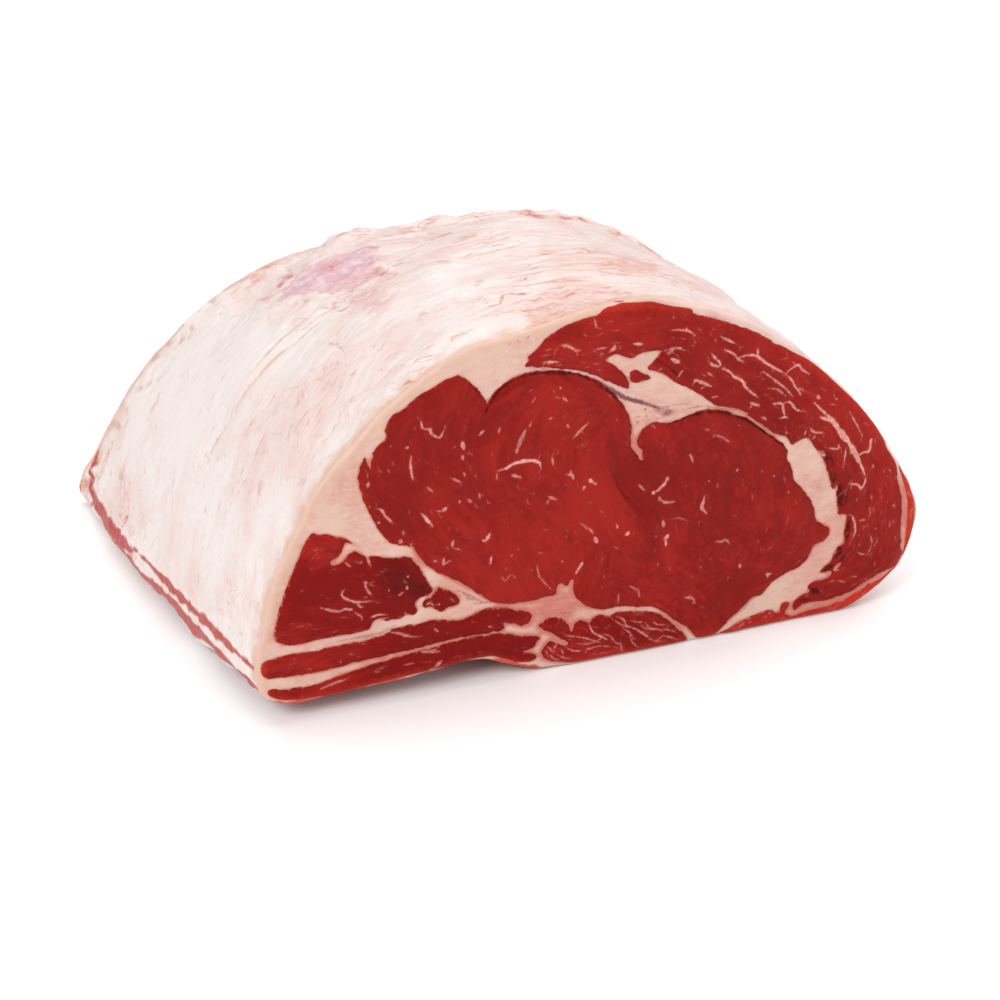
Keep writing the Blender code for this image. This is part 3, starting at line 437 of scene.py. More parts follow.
# The skin is drawn unrolled: distance round the roast from the lip's lower edge, then from the near cut
SKIN_DEPTH = 180.0
SKIN_START = 2.6          # the skin's mesh starts this far behind each cut, inside the rounded rim
SKIN_DRAWING_STEP = 0.9
MIDDLE_LENGTH = 165.0
STAIN_SPREAD = 1.2        # stains are drawn this much wider than they are listed
TUCKED_IN = 0.85          # share of its x that a hidden edge keeps
# Stains of the skin, by kind: width, strength, points; lean shows along the lip's edge
SKIN_STAINS = {"purple": [
    (20, 1, (130, 134), (150, 138), (168, 134)), (18, 1, (128, 124), (148, 124), (168, 122)),
    (12, 0.6, (138, 112), (152, 109), (162, 104)), (10, 0.2, (146, 92), (150, 78), (146, 60)),
], "blush": [
    (7, 0.9, (143, 140), (150, 134), (152, 142)), (3, 0.8, (146, 127), (152, 129)),
    (5, 0.7, (121, 134), (122, 146), (118, 152)), (5, 0.8, (130, 150), (136, 154), (134, 162)),
    (3, 0.7, (120, 122), (128, 118)), (3, 0.6, (164, 96), (163, 108)),
    (4, 0.6, (165, 142), (170, 138), (172, 132)), (4, 0.9, (189, 126), (196, 129), (199, 132)),
    (3.5, 0.8, (188, 150), (192, 160)), (3, 0.6, (194, 142), (200, 146)), (8, 0.5, (196, 108), (204, 116)),
    (6, 0.4, (210, 146), (218, 158)), (8, 1.1, (232, 136), (236, 156), (240, 174)),
    (6, 1.2, (243, 138), (248, 150), (254, 160)), (8, 0.9, (254, 148), (260, 160), (262, 170)),
    (6, 1, (270, 150), (275, 160), (277, 166)), (6, 0.8, (284, 160), (296, 168), (310, 174)),
    (5, 0.8, (214, 172), (220, 178)), (30, 0.35, (192, 6), (206, 12), (216, 6)), (3, 0.9, (204, 6), (210, 4)),
    (2, 0.9, (219, 20), (222, 10)), (2.5, 0.8, (236, 46), (246, 40), (248, 38)),
    (14, 0.45, (224, 34), (240, 50), (250, 58)), (2.5, 0.6, (230, 66), (240, 58), (248, 56)),
    (3, 0.6, (196, 38), (206, 36), (214, 30)), (2.5, 0.6, (114, 26), (118, 24)),
    (2.5, 0.6, (122, 34), (126, 36)), (2, 0.5, (84, 16), (88, 12)), (3, 0.5, (74, 40), (72, 34)),
    (2.5, 0.5, (104, 50), (112, 54)), (3, 0.5, (156, 8), (160, 12), (166, 10)), (3, 0.5, (174, 36), (180, 42)),
    (3, 0.5, (182, 50), (186, 58)), (4, 0.5, (20, 128), (28, 132)), (3, 0.6, (22, 110), (24, 120)),
    (4, 0.4, (30, 140), (44, 146)), (3, 0.4, (58, 146), (70, 150)), (3, 0.5, (164, 170), (176, 168)),
    (4, 0.6, (120, 172), (134, 174), (150, 170)), (3, 0.9, (20, 128), (24, 124), (27, 123)),
    (5, 0.7, (8, 168), (14, 172), (20, 176)), (9, 0.9, (7, 166), (6, 140), (6, 110), (6, 60)),
    (5, 0.5, (22, 158), (30, 164), (44, 168)), (5, 0.5, (14, 160), (14.6, 130), (15, 100)),
], "lean": [
    (7, 1.3, (20, 172), (16.8, 164), (14.8, 155), (14.2, 144), (14.2, 130), (15, 118), (17, 106)),
    (4.2, 1, (18, 112), (18, 70), (19, 40), (19, 8), (19, -14)),
    (4.2, 1, (11, 150), (10.5, 130), (11, 112), (10, 90), (11, 60), (10, 20), (9.6, -16)),
    (1.6, 0.8, (13.6, 154), (13.2, 138), (13.8, 120)), (3.4, 1.3, (20.6, 165), (19.6, 160)),
    (1.4, 1, (20.5, 163), (21.5, 169), (25, 173), (32, 176), (40, 178)), (2.4, 0.8, (11, 164), (11.5, 161)),
]}
# Creases: depth, width, points; a negative depth stands proud
SKIN_CREASES = [
    (0.8, 1.3, (84, 84), (96, 86), (108, 88), (118, 86), (128, 88)),
    (0.7, 1.1, (98, 92), (112, 96), (126, 96), (132, 98)), (-0.5, 2, (88, 88.5), (104, 91.5), (120, 91)),
    (0.6, 1.2, (66, 84), (74, 84), (82, 83)), (0.6, 1.4, (40, 90), (46, 96), (52, 106)),
    (0.6, 1.2, (126, 46), (127, 60), (122, 74)), (0.6, 1.2, (60, 52), (72, 50), (84, 56), (92, 54)),
    (0.5, 1.2, (80, 70), (92, 68), (104, 72)),
    (-1.3, 2.2, (118, 124), (128, 117), (136, 110), (138, 100), (140, 92)),
    (-1.2, 2.2, (116, 150), (119, 140), (118, 128)), (-1.2, 1.8, (142, 148), (152, 152), (162, 149), (170, 144)),
    (-1.1, 2, (172, 142), (168, 132), (167, 124), (165, 112), (166, 102)),
    (0.9, 1.4, (124, 146), (132, 143), (140, 144)), (0.7, 0.9, (140, 132), (148, 129), (158, 133)),
    (0.7, 0.9, (138, 120), (150, 116), (160, 121)), (0.6, 0.9, (144, 106), (152, 102), (158, 106)),
    (0.8, 1.1, (162, 96), (161, 106), (164, 112)), (0.7, 1.1, (140, 90), (148, 84), (156, 86)),
    (0.6, 1.1, (146, 76), (152, 70), (158, 74)), (0.7, 1.2, (206, 74), (218, 66), (232, 64)),
    (0.8, 1.1, (226, 60), (240, 52), (250, 54)), (0.7, 1, (216, 52), (228, 48), (238, 50)),
    (0.7, 1, (196, 40), (208, 38), (218, 32)), (0.6, 1, (222, 40), (232, 34), (242, 36)),
    (0.8, 1.2, (174, 128), (186, 124), (198, 126)), (0.8, 1.2, (176, 148), (190, 144), (206, 146)),
    (0.7, 1.2, (182, 110), (196, 104), (212, 106)), (0.9, 1.3, (206, 162), (222, 158), (240, 160)),
    (0.9, 1.3, (236, 148), (250, 142), (268, 146)), (0.8, 1.2, (214, 132), (230, 126), (246, 128)),
    (0.7, 1.2, (232, 106), (250, 100), (268, 104)), (0.7, 1.2, (190, 88), (204, 86), (216, 90)),
    (0.6, 1.2, (250, 84), (266, 80), (284, 84)), (0.8, 1.4, (264, 164), (280, 160), (300, 164)),
    (0.7, 1.2, (180, 22), (190, 16), (202, 18)), (0.7, 1.2, (206, 10), (214, 8), (222, 14)),
    (-1, 4, (100, 172), (112, 168), (124, 172)), (-1.1, 4, (150, 168), (164, 164), (178, 170)),
    (-0.9, 4, (60, 168), (72, 172)), (0.9, 3, (84, 174), (92, 168), (98, 160)),
    (0.9, 2.6, (138, 176), (142, 168), (140, 160)), (-0.9, 3, (204, 172), (216, 170), (228, 174)),
    (0.8, 2.4, (190, 176), (194, 170), (198, 166)), (0.6, 1, (22, 122), (30, 128), (34, 138)),
    (0.5, 1, (28, 150), (36, 156), (48, 158)),
]
# Bulges: round, along, reach, height
BULGES = [
    (8, 178, 12, -1.6), (16, 176, 10, -1.4), (8, 130, 14, 1.2), (12, 104, 12, 0.8), (97, 175, 8, 1.9),
    (104, 174, 5, -0.8), (120, 173, 6, 0.9), (140, 172, 7, 1.8), (166, 171, 8, 2.2), (176, 172, 10, 1.6),
    (202, 172, 9, 1.3), (228, 170, 12, 1.7), (248, 138, 8, 0.8), (312, 120, 9, 1),
]
# Pinker (+) and whiter (-) fat: round, along, reach, amount
SKIN_PINKNESS = [
    (70, 120, 34, -0.35), (95, 150, 26, -0.3), (60, 70, 26, -0.15), (105, 100, 24, -0.2), (84, 44, 20, 0.42),
    (108, 36, 22, 0.36), (150, 30, 18, 0.1), (30, 130, 16, 0.4), (28, 60, 16, 0.35), (138, 160, 26, 0.45),
    (146, 96, 16, 0.25), (205, 14, 22, 0.5), (240, 48, 30, 0.35), (230, 70, 30, 0.15), (235, 160, 34, 0.4),
    (285, 120, 40, 0.3), (190, 110, 26, 0.1), (300, 50, 40, 0.35), (360, 90, 60, 0.5),
]
# Direction of the fine folds: round, along, angle in degrees
SKIN_GRAIN = [
    (20, 20, 85), (20, 150, 85), (60, 40, 35), (70, 90, 25), (60, 150, 40), (110, 30, 45), (110, 85, 12),
    (110, 140, 35), (150, 60, 10), (150, 125, 15), (180, 20, 10), (185, 80, -10), (190, 150, -15), (230, 30, -20),
    (230, 90, -18), (240, 160, -20), (290, 60, -15), (290, 150, -12), (350, 60, -30), (350, 140, -30),
    (410, 40, -60), (410, 140, -60),
]


# ---------------------------------------- numbers and nets

def ease(value, low, high):
    """0 below low, 1 above high, and smooth between them."""
    t = np.clip((value - low) / (high - low), 0.0, 1.0)
    return t * t * (3.0 - 2.0 * t)


def spline(points, places, closed=True):
    """Points on the smooth curve through these points; place 2.5 lies between points 2 and 3."""
    points = np.asarray(points, float)
    count = len(points)
    places = np.asarray(places, float)
    first = np.floor(places).astype(int)
    t = (places - first)[..., None]
    wrap = (lambda i: i % count) if closed else (lambda i: np.clip(i, 0, count - 1))
    a, b, c, d = (points[wrap(first + k)] for k in (-1, 0, 1, 2))
    return 0.5 * (2 * b + (c - a) * t + (2 * a - 5 * b + 4 * c - d) * t**2 + (3 * b - 3 * c + d - a) * t**3)


def walked(points, closed):
    """Places along a curve through these points, and how far along it each lies."""
    places = np.linspace(0, len(points) if closed else len(points) - 1, len(points) * 24 + 1)
    curve = spline(points, places, closed)
    steps = np.hypot(*np.diff(curve, axis=0).T)
    return places, np.concatenate([[0.0], np.cumsum(steps)])


def evenly(points, gap, closed=True):
    """Points on the curve through these, about this gap apart."""
    places, far = walked(points, closed)
    count = max(2, round(far[-1] / gap))
    stops = np.linspace(0, far[-1], count + (0 if closed else 1), endpoint=not closed)
    return spline(points, np.interp(stops, far, places), closed)


def lattice(i, j, k, seed):
    """A steady random number from 0 to 1 for each corner of a cubic lattice."""
    n = (i * 73856093) ^ (j * 19349663) ^ (k * 83492791) ^ (seed * 50331653)
    n = ((n ^ (n >> 13)) * 1274126177) & 0x7FFFFFFF
    n = ((n ^ (n >> 15)) * 668265263) & 0x7FFFFFFF
    return ((n ^ (n >> 11)) & 0xFFFF) / 0xFFFF


def noise(x, y, z, size, seed):
    """Smooth noise about 0, mostly within -1 and 1, with features of this size."""
    corners = [np.floor(v / size).astype(np.int64) for v in (x, y, z)]
    shares = [v / size - c for v, c in zip((x, y, z), corners)]
    shares = [s * s * s * (s * (6 * s - 15) + 10) for s in shares]
    total = 0.0
    for dx in (0, 1):
        for dy in (0, 1):
            for dz in (0, 1):
                weight = 1.0
                for share, step in zip(shares, (dx, dy, dz)):
                    weight = weight * (share if step else 1 - share)
                total = total + weight * lattice(corners[0] + dx, corners[1] + dy, corners[2] + dz, seed)
    return (total * 2 - 1) * 1.5


def ridges(x, y, z, size, seed):
    """Noise folded into thin creases: 0 on the flat and down to -1 in a crease."""
    return -np.clip(1 - 3.2 * np.abs(noise(x, y, z, size, seed)), 0, 1) ** 1.5


def nearest(value, count):
    """The nearest whole number, from 0 to below count."""
    return np.clip(np.rint(value).astype(int), 0, count - 1)


class Net:
    """A square net over part of a surface, in millimetres, on which its patterns are drawn."""

    def __init__(self, left, low, right, high, step):
        self.left, self.low, self.step = left, low, step
        self.columns = int(math.ceil((right - left) / step)) + 1
        self.rows = int(math.ceil((high - low) / step)) + 1
        self.x, self.h = np.meshgrid(left + step * np.arange(self.columns), low + step * np.arange(self.rows))

    def at(self, x, h):
        """Row and column of the net's point nearest to each of these."""
        return nearest((h - self.low) / self.step, self.rows), nearest((x - self.left) / self.step, self.columns)

    def read(self, field, x, h):
        """The field at any place, evened out between the net's points."""
        c = np.clip((x - self.left) / self.step, 0, self.columns - 1.001)
        r = np.clip((h - self.low) / self.step, 0, self.rows - 1.001)
        left, low = c.astype(int), r.astype(int)
        c, r = c - left, r - low
        lower = field[low, left] * (1 - c) + field[low, left + 1] * c
        upper = field[low + 1, left] * (1 - c) + field[low + 1, left + 1] * c
        return lower * (1 - r) + upper * r

    def along(self, points, reach):
        """For each piece of a line: the window within reach, the distance to it, and how far along it."""
        total = max(len(points) - 1, 1)
        for i, (a, b) in enumerate(zip(points, points[1:])):
            c0 = max(0, int((min(a[0], b[0]) - reach - self.left) / self.step))
            c1 = min(self.columns, int((max(a[0], b[0]) + reach - self.left) / self.step) + 2)
            r0 = max(0, int((min(a[1], b[1]) - reach - self.low) / self.step))
            r1 = min(self.rows, int((max(a[1], b[1]) + reach - self.low) / self.step) + 2)
            if c0 >= c1 or r0 >= r1:
                continue
            window = (slice(r0, r1), slice(c0, c1))
            x, h = self.x[window] - a[0], self.h[window] - a[1]
            dx, dh = b[0] - a[0], b[1] - a[1]
            t = np.clip((x * dx + h * dh) / max(dx * dx + dh * dh, 1e-9), 0, 1)
            yield window, np.hypot(x - t * dx, h - t * dh), (i + t) / total

    def inside(self, loop):
        """True at the net's points inside a closed loop."""
        flips = np.zeros((self.rows, self.columns + 1), int)
        lines = self.low + self.step * np.arange(self.rows)
        for a, b in zip(loop, np.roll(loop, -1, axis=0)):
            low, high = (a, b) if a[1] <= b[1] else (b, a)
            rows = np.nonzero((lines >= low[1]) & (lines < high[1]))[0]
            if len(rows):
                x = low[0] + (high[0] - low[0]) * (lines[rows] - low[1]) / (high[1] - low[1])
                columns = np.clip(np.ceil((x - self.left) / self.step).astype(int), 0, self.columns)
                np.add.at(flips, (rows, columns), 1)
        return np.cumsum(flips, axis=1)[:, : self.columns] % 2 == 1

    def depth_inside(self, loops, reach):
        """Distance to the nearest edge of the loops, within reach: positive inside them, negative outside."""
        gap = np.full(self.x.shape, float(reach))
        within = np.zeros(self.x.shape, bool)
        for loop in loops:
            for window, distance, _ in self.along(np.vstack([loop, loop[:1]]), reach):
                gap[window] = np.minimum(gap[window], distance)
            within |= self.inside(loop)
        return np.where(within, gap, -gap)

    def streaks(self, lines, reach=2.0):
        """Two fields for streaks (width, paleness, points...): how far inside one, and its paleness."""
        depth = np.full(self.x.shape, -float(reach))
        pale = np.zeros(self.x.shape)
        for width, strength, *points in lines:
            points = evenly(points, 0.8, closed=False) if len(points) > 2 else points
            for window, distance, share in self.along(points, reach + width):
                half = width / 2 * (0.1 + 0.85 * np.sin(math.pi * np.clip(share, 0.02, 0.98)) ** 0.75)
                found = half - distance
                better = found > depth[window]
                depth[window] = np.where(better, found, depth[window])
                pale[window] = np.where(better, strength, pale[window])
        return depth, pale

    def frayed(self, depth, amount, seed):
        """The same streaks with uneven edges."""
        uneven = amount * (0.6 * self.noise(1.5, seed) + 0.4 * self.noise(0.7, seed + 1))
        return depth + np.where(depth > -1.5, uneven, 0.0)

    def creases(self, lines):
        """Relief of creases (depth, width, points...)."""
        relief = np.zeros(self.x.shape)
        for deep, width, *points in lines:
            cut = np.zeros(self.x.shape)
            for window, distance, share in self.along(evenly(points, 1.5, closed=False), 3 * width):
                fade = np.sin(math.pi * np.clip(share, 0.06, 0.94)) ** 0.6
                cut[window] = np.maximum(cut[window], fade * np.exp(-((distance / width) ** 2)))
            relief -= deep * cut
        return relief

    def noise(self, size, seed):
        return noise(self.x, self.h, self.x * 0, size, seed)

    def patches(self, spots):
        """Sum of soft round patches (x, h, reach, amount)."""
        total = np.zeros(self.x.shape)
        for x, h, reach, amount in spots:
            total += amount * np.exp(-(((self.x - x) ** 2 + (self.h - h) ** 2) / reach**2))
        return total

    def grain(self, marks):
        """The fibres' direction at each point of the net, from the marks (x, h, degrees)."""
        c = s = 0.0
        for x, h, degrees in marks:
            weight = 1.0 / ((self.x - x) ** 2 + (self.h - h) ** 2 + 30.0) ** 1.5
            c = c + weight * math.cos(math.radians(2 * degrees))
            s = s + weight * math.sin(math.radians(2 * degrees))
        return np.arctan2(s, c) / 2

    def combed(self, direction, blot, length, seed):
        """Random blots of this size drawn out along the fibres, scaled to about -1 to 1."""
        speck = noise(self.x, self.h, self.x * 0 + seed * 7.3, blot, seed)
        total = np.zeros(self.x.shape)
        rows, columns = np.indices(self.x.shape)
        reach = max(1, int(length / self.step / 2))
        stride = max(1, reach // 9)
        for k in range(-reach, reach + 1, stride):
            r = nearest(rows + k * np.sin(direction), self.rows)
            c = nearest(columns + k * np.cos(direction), self.columns)
            total += speck[r, c]
        total -= total.mean()
        return total / (2.2 * total.std() + 1e-9)


def blurred(field, half):
    """The field averaged over squares that reach this many cells to each side."""
    for axis in (0, 1):
        pads = [(half + 1, half) if k == axis else (0, 0) for k in (0, 1)]
        total = np.cumsum(np.pad(field, pads, mode="edge"), axis=axis)
        count = field.shape[axis]
        ahead = np.take(total, np.arange(2 * half + 1, 2 * half + 1 + count), axis=axis)
        field = (ahead - np.take(total, np.arange(count), axis=axis)) / (2 * half + 1)
    return field


def rim_walk(kept):
    """Rows and columns of the net's corners in order round the kept cells."""
    cells = np.pad(kept, 1)
    under, over = cells[:-1, 1:-1], cells[1:, 1:-1]
    left, right = cells[1:-1, :-1], cells[1:-1, 1:]
    step = {(r, c): (r, c + 1) for r, c in zip(*np.nonzero(over & ~under))}
    step.update({(r, c + 1): (r, c) for r, c in zip(*np.nonzero(under & ~over))})
    step.update({(r, c): (r + 1, c) for r, c in zip(*np.nonzero(left & ~right))})
    step.update({(r + 1, c): (r, c) for r, c in zip(*np.nonzero(right & ~left))})
    walk = [min(step)]
    while step[walk[-1]] != walk[0]:
        walk.append(step[walk[-1]])
    return tuple(np.array(walk).T)


def kept_cells(deep):
    """Cells whose four corners are deep, with corners that only touch filled in, so that no rim pinches."""
    kept = deep[:-1, :-1] & deep[1:, :-1] & deep[:-1, 1:] & deep[1:, 1:]
    while True:
        a, b, c, d = kept[:-1, :-1], kept[:-1, 1:], kept[1:, :-1], kept[1:, 1:]
        first = a & d & ~b & ~c
        second = b & c & ~a & ~d
        if not (first | second).any():
            break
        kept[:-1, 1:] |= first
        kept[:-1, :-1] |= second
    return kept


# ---------------------------------------- form of the skin

def length_at(x):
    """Length of the roast from cut to cut; the far cut slants."""
    return LIP_LENGTH - CUT_SKEW * (x - LIP_EDGE_X)


def section_at(places, share):
    """The outline between the cuts: x and h at these places round it and this share of the way."""
    near, far = spline(NEAR_OUTLINE, places), spline(FAR_OUTLINE, places)
    x = near[..., 0] + (far[..., 0] - near[..., 0]) * np.sin(share * math.pi / 2)
    hold = 1.0 + CROWN_HOLD * ease(near[..., 1], CROWN_FROM, CROWN_TO)
    h = near[..., 1] + (far[..., 1] - near[..., 1]) * share**hold
    bed = RIB_BED_LOW + (1.0 - RIB_BED_LOW) * np.cos(math.pi * RIB_COUNT * share) ** 2
    bed = bed + (1.0 - bed) * (1.0 - ease(share, *OPEN_BED))
    under_lip = ease(-h, -14.0, -8.0) * ease(-x, 8.0, 24.0) * ease(x, -136.0, -118.0)
    return x, np.maximum(h * (1.0 - under_lip * (1.0 - bed)), 0.0)


def skin_at(places, share, out=0.0):
    """Points of the skin, in millimetres, stood off along its outline's normal by out."""
    places = np.asarray(places, float)
    share = np.clip(share, 0.0, 1.0)
    x, h = section_at(places, share)
    ax, ah = section_at(places - 0.06, share)
    bx, bh = section_at(places + 0.06, share)
    size = np.hypot(bx - ax, bh - ah)
    nx, nh = (ah - bh) / size, (bx - ax) / size
    y = NEAR_Y + share * length_at(x)
    slow = np.sin(0.061 * x + 0.9) * np.cos(0.047 * y + 0.4) + 0.6 * np.sin(0.093 * y - 0.055 * x + 2.0)
    reach = np.hypot((x - SCAR_CENTRE[0]) / SCAR_REACH[0], (y - SCAR_CENTRE[1]) / SCAR_REACH[1])
    swell = ease(h, 14.0, 40.0) * (LUMP * slow - SCAR_DEPTH * ease(-reach, -1.15, -0.6))
    push = swell * ease(share, 0.0, 0.08) * ease(1.0 - share, 0.0, 0.05) + out
    return np.stack([x + nx * push, y, np.maximum(h + nh * push, 0.0)], axis=-1)


def rough(points):
    """Unevenness of the fat's surface, the same on every piece, so that they meet."""
    x, y, h = points[..., 0], points[..., 1], points[..., 2]
    low = ease(h, 1.0, 9.0)
    return low * (0.42 * noise(x, y, h, 13.0, 3) + 0.2 * noise(x, y, h, 5.0, 5))


# ---------------------------------------- cuts and pieces

class Cut:
    """One of the two cut faces: where its outline and its plane lie, and how the muscles reach it."""

    def __init__(self, near):
        self.near = near
        self.outline = NEAR_OUTLINE if near else FAR_OUTLINE
        places, far = walked(self.outline, True)
        stops = np.linspace(0, far[-1], OUTLINE_STOPS, endpoint=False)
        self.places = np.interp(stops, far, places)
        self.edge = spline(self.outline, self.places)
        around = np.roll(self.edge, -1, axis=0) - np.roll(self.edge, 1, axis=0)
        self.out = np.stack([-around[:, 1], around[:, 0]], axis=-1) / np.hypot(*around.T)[:, None]

    def muscle(self, points):
        """A muscle's outline, or a streak, where it reaches this cut."""
        points = np.asarray(points, float)
        if self.near:
            return points
        spread = FAR_MIDDLE + (points - FAR_MIDDLE) * FAR_MUSCLE_SCALE
        widening = np.where(spread[:, 0] < 0, FAR_LIP_WIDER, 1.0)
        x = spread[:, 0] * widening
        crown = self.crown(FAR_OUTLINE, x) / self.crown(NEAR_OUTLINE, spread[:, 0])
        wave = np.stack([1.6 * np.sin(points[:, 1] / 13.0 + 1.0), 1.2 * np.sin(points[:, 0] / 17.0)], axis=-1)
        inner = ease(points[:, 1], 20.0, 45.0)[:, None]
        return np.stack([x, spread[:, 1] * crown], axis=-1) + wave * inner

    def spots(self, spots):
        """Spots (x, h, more...) of the near cut where they lie on this one."""
        return [(*self.muscle([(x, h)])[0], *more) for x, h, *more in spots]

    @staticmethod
    def crown(outline, x):
        """Height of an outline's crown at x."""
        upper = np.array(outline[CROWN_PART], float)
        return np.interp(x, upper[:, 0], upper[:, 1])

    def plane(self, x):
        """y of the cut's plane."""
        return np.full(np.shape(x), NEAR_Y) if self.near else NEAR_Y + length_at(x)

    def round_rim(self, x, h):
        """Places round the outline, evenly drawn out, for points in order round the rim."""
        gaps = (x[:, None] - self.edge[None, :, 0]) ** 2 + (h[:, None] - self.edge[None, :, 1]) ** 2
        turn = np.unwrap(gaps.argmin(axis=1) / len(self.edge) * 2 * math.pi)
        full = 2 * math.pi * np.sign(turn[-1] - turn[0])
        steady = full * np.arange(len(turn)) / len(turn)
        wobble = turn - steady
        wobble = np.convolve(np.concatenate([wobble[-8:], wobble, wobble[:8]]), np.ones(17) / 17, "valid")
        index = (steady + wobble) / (2 * math.pi) * len(self.edge) % len(self.edge)
        whole = np.concatenate([self.places, [self.places[0] + len(self.outline)]])
        return np.interp(index, np.arange(len(whole)), whole)

    def rim(self, places, depth, inset):
        """Points of the rounded rim, this deep behind the cut and this far in from the skin."""
        share = depth / length_at(spline(self.outline, places)[:, 0])
        if not self.near:
            share = 1.0 - share
        points = skin_at(places, share)
        return skin_at(places, share, rough(points) - inset)


RIM_REACH = {"cap_muscle": 0.8, "back_muscles": 0.5}   # these come nearer to the skin behind the crown
RIM_FLAT = 2.3      # how far in from the skin the rounding of the rim begins
RIM_INSETS = (RIM_FLAT, 1.5, 1.0, 0.6, 0.3, 0.1, 0.0, 0.3, 1.1, 2.6)
FOLDED_RING = 7     # from this ring on, the rim's fat is folded in behind the skin
BESIDE_SKIN = 2.6   # muscles are shallower this close to the skin, to stay inside it
OUTLINE_STOPS = 1400
FAR_FAT_COARSER = 1.3


def rim_drop(gap, x, h):
    """How far the cut face falls back this close to the skin; the rim's radius changes a little along it."""
    radius = 1.7 + 0.45 * noise(x, h, x * 0, 9.0, 21)
    short = np.clip(radius - gap, 0.0, radius)
    return radius - np.sqrt(np.maximum(radius**2 - short**2, 0.0))


def deselect():
    if bpy.context.object and bpy.context.object.mode != "OBJECT":
        bpy.ops.object.mode_set(mode="OBJECT")
    bpy.ops.object.select_all(action="DESELECT")


def added(name):
    """The object that was added just now, by this name."""
    bpy.context.object.name = bpy.context.object.data.name = name
    return bpy.context.object


def select_part(mesh, kind, chosen):
    """Selects only these faces or edges, before edit mode is entered."""
    for group in (mesh.vertices, mesh.edges, mesh.polygons):
        group.foreach_set("select", np.zeros(len(group), bool))
    getattr(mesh, kind).foreach_set("select", chosen)


def read_all(items, what, width, kind=float):
    """This property of each vertex, edge or face, one to a row."""
    found = np.empty(len(items) * width, kind)
    items.foreach_get(what, found)
    return found.reshape(-1, width)


def shape(piece, points):
    """Gives the piece's vertices these places, in millimetres."""
    piece.data.vertices.foreach_set("co", (points * MM).ravel())
    piece.data.update()


def store(piece, fields):
    """Keeps a value of each field for each vertex, for the materials to read."""
    for name, values in fields.items():
        layer = piece.data.attributes.new(name, "FLOAT", "POINT")
        layer.data.foreach_set("value", np.ascontiguousarray(values, np.float32))


def face_blank(name, net, kept, rings):
    """A slab over the kept cells of the net: a grid trimmed to them, its rim drawn back and closed behind.
    Returns the piece, the place of each vertex on the net, and the ring that it belongs to."""
    deselect()
    width, height = (net.columns - 1) * net.step, (net.rows - 1) * net.step
    bpy.ops.mesh.primitive_grid_add(
        x_subdivisions=net.columns - 1, y_subdivisions=net.rows - 1, size=1.0,
        location=((net.left + width / 2) * MM, 0, (net.low + height / 2) * MM), rotation=(math.pi / 2, 0, 0),
    )
    piece = added(name)
    piece.scale = (width * MM, height * MM, 1.0)
    bpy.ops.object.transform_apply(location=True, rotation=True, scale=True)
    mesh = piece.data
    middle = read_all(mesh.polygons, "center", 3) / MM
    column = np.clip(((middle[:, 0] - net.left) / net.step).astype(int), 0, net.columns - 2)
    row = np.clip(((middle[:, 2] - net.low) / net.step).astype(int), 0, net.rows - 2)
    select_part(mesh, "polygons", ~kept[row, column])
    bpy.ops.object.mode_set(mode="EDIT")
    bpy.ops.mesh.select_mode(type="FACE")
    bpy.ops.mesh.delete(type="FACE")
    bpy.ops.mesh.select_mode(type="EDGE")
    bpy.ops.mesh.select_all(action="SELECT")
    bpy.ops.mesh.region_to_loop()
    for _ in range(rings):
        bpy.ops.mesh.extrude_edges_move(TRANSFORM_OT_translate={"value": (0, MM, 0)})
    bpy.ops.mesh.fill_holes(sides=0)
    bpy.ops.mesh.select_all(action="SELECT")
    bpy.ops.mesh.normals_make_consistent(inside=False)
    bpy.ops.object.mode_set(mode="OBJECT")
    bpy.ops.object.shade_smooth()
    found = read_all(mesh.vertices, "co", 3) / MM
    return piece, found[:, 0], found[:, 2], np.rint(found[:, 1]).astype(int)


def finish(piece, material):
    """Gives the piece its material, and ties it to the part."""
    piece.data.materials.append(bpy.data.materials[material])
    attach(piece, "root")
    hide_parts("rib_roast")


def turn_to_far(piece, cut):
    """A piece of the far cut faces the other way."""
    if not cut.near:
        piece.data.flip_normals()


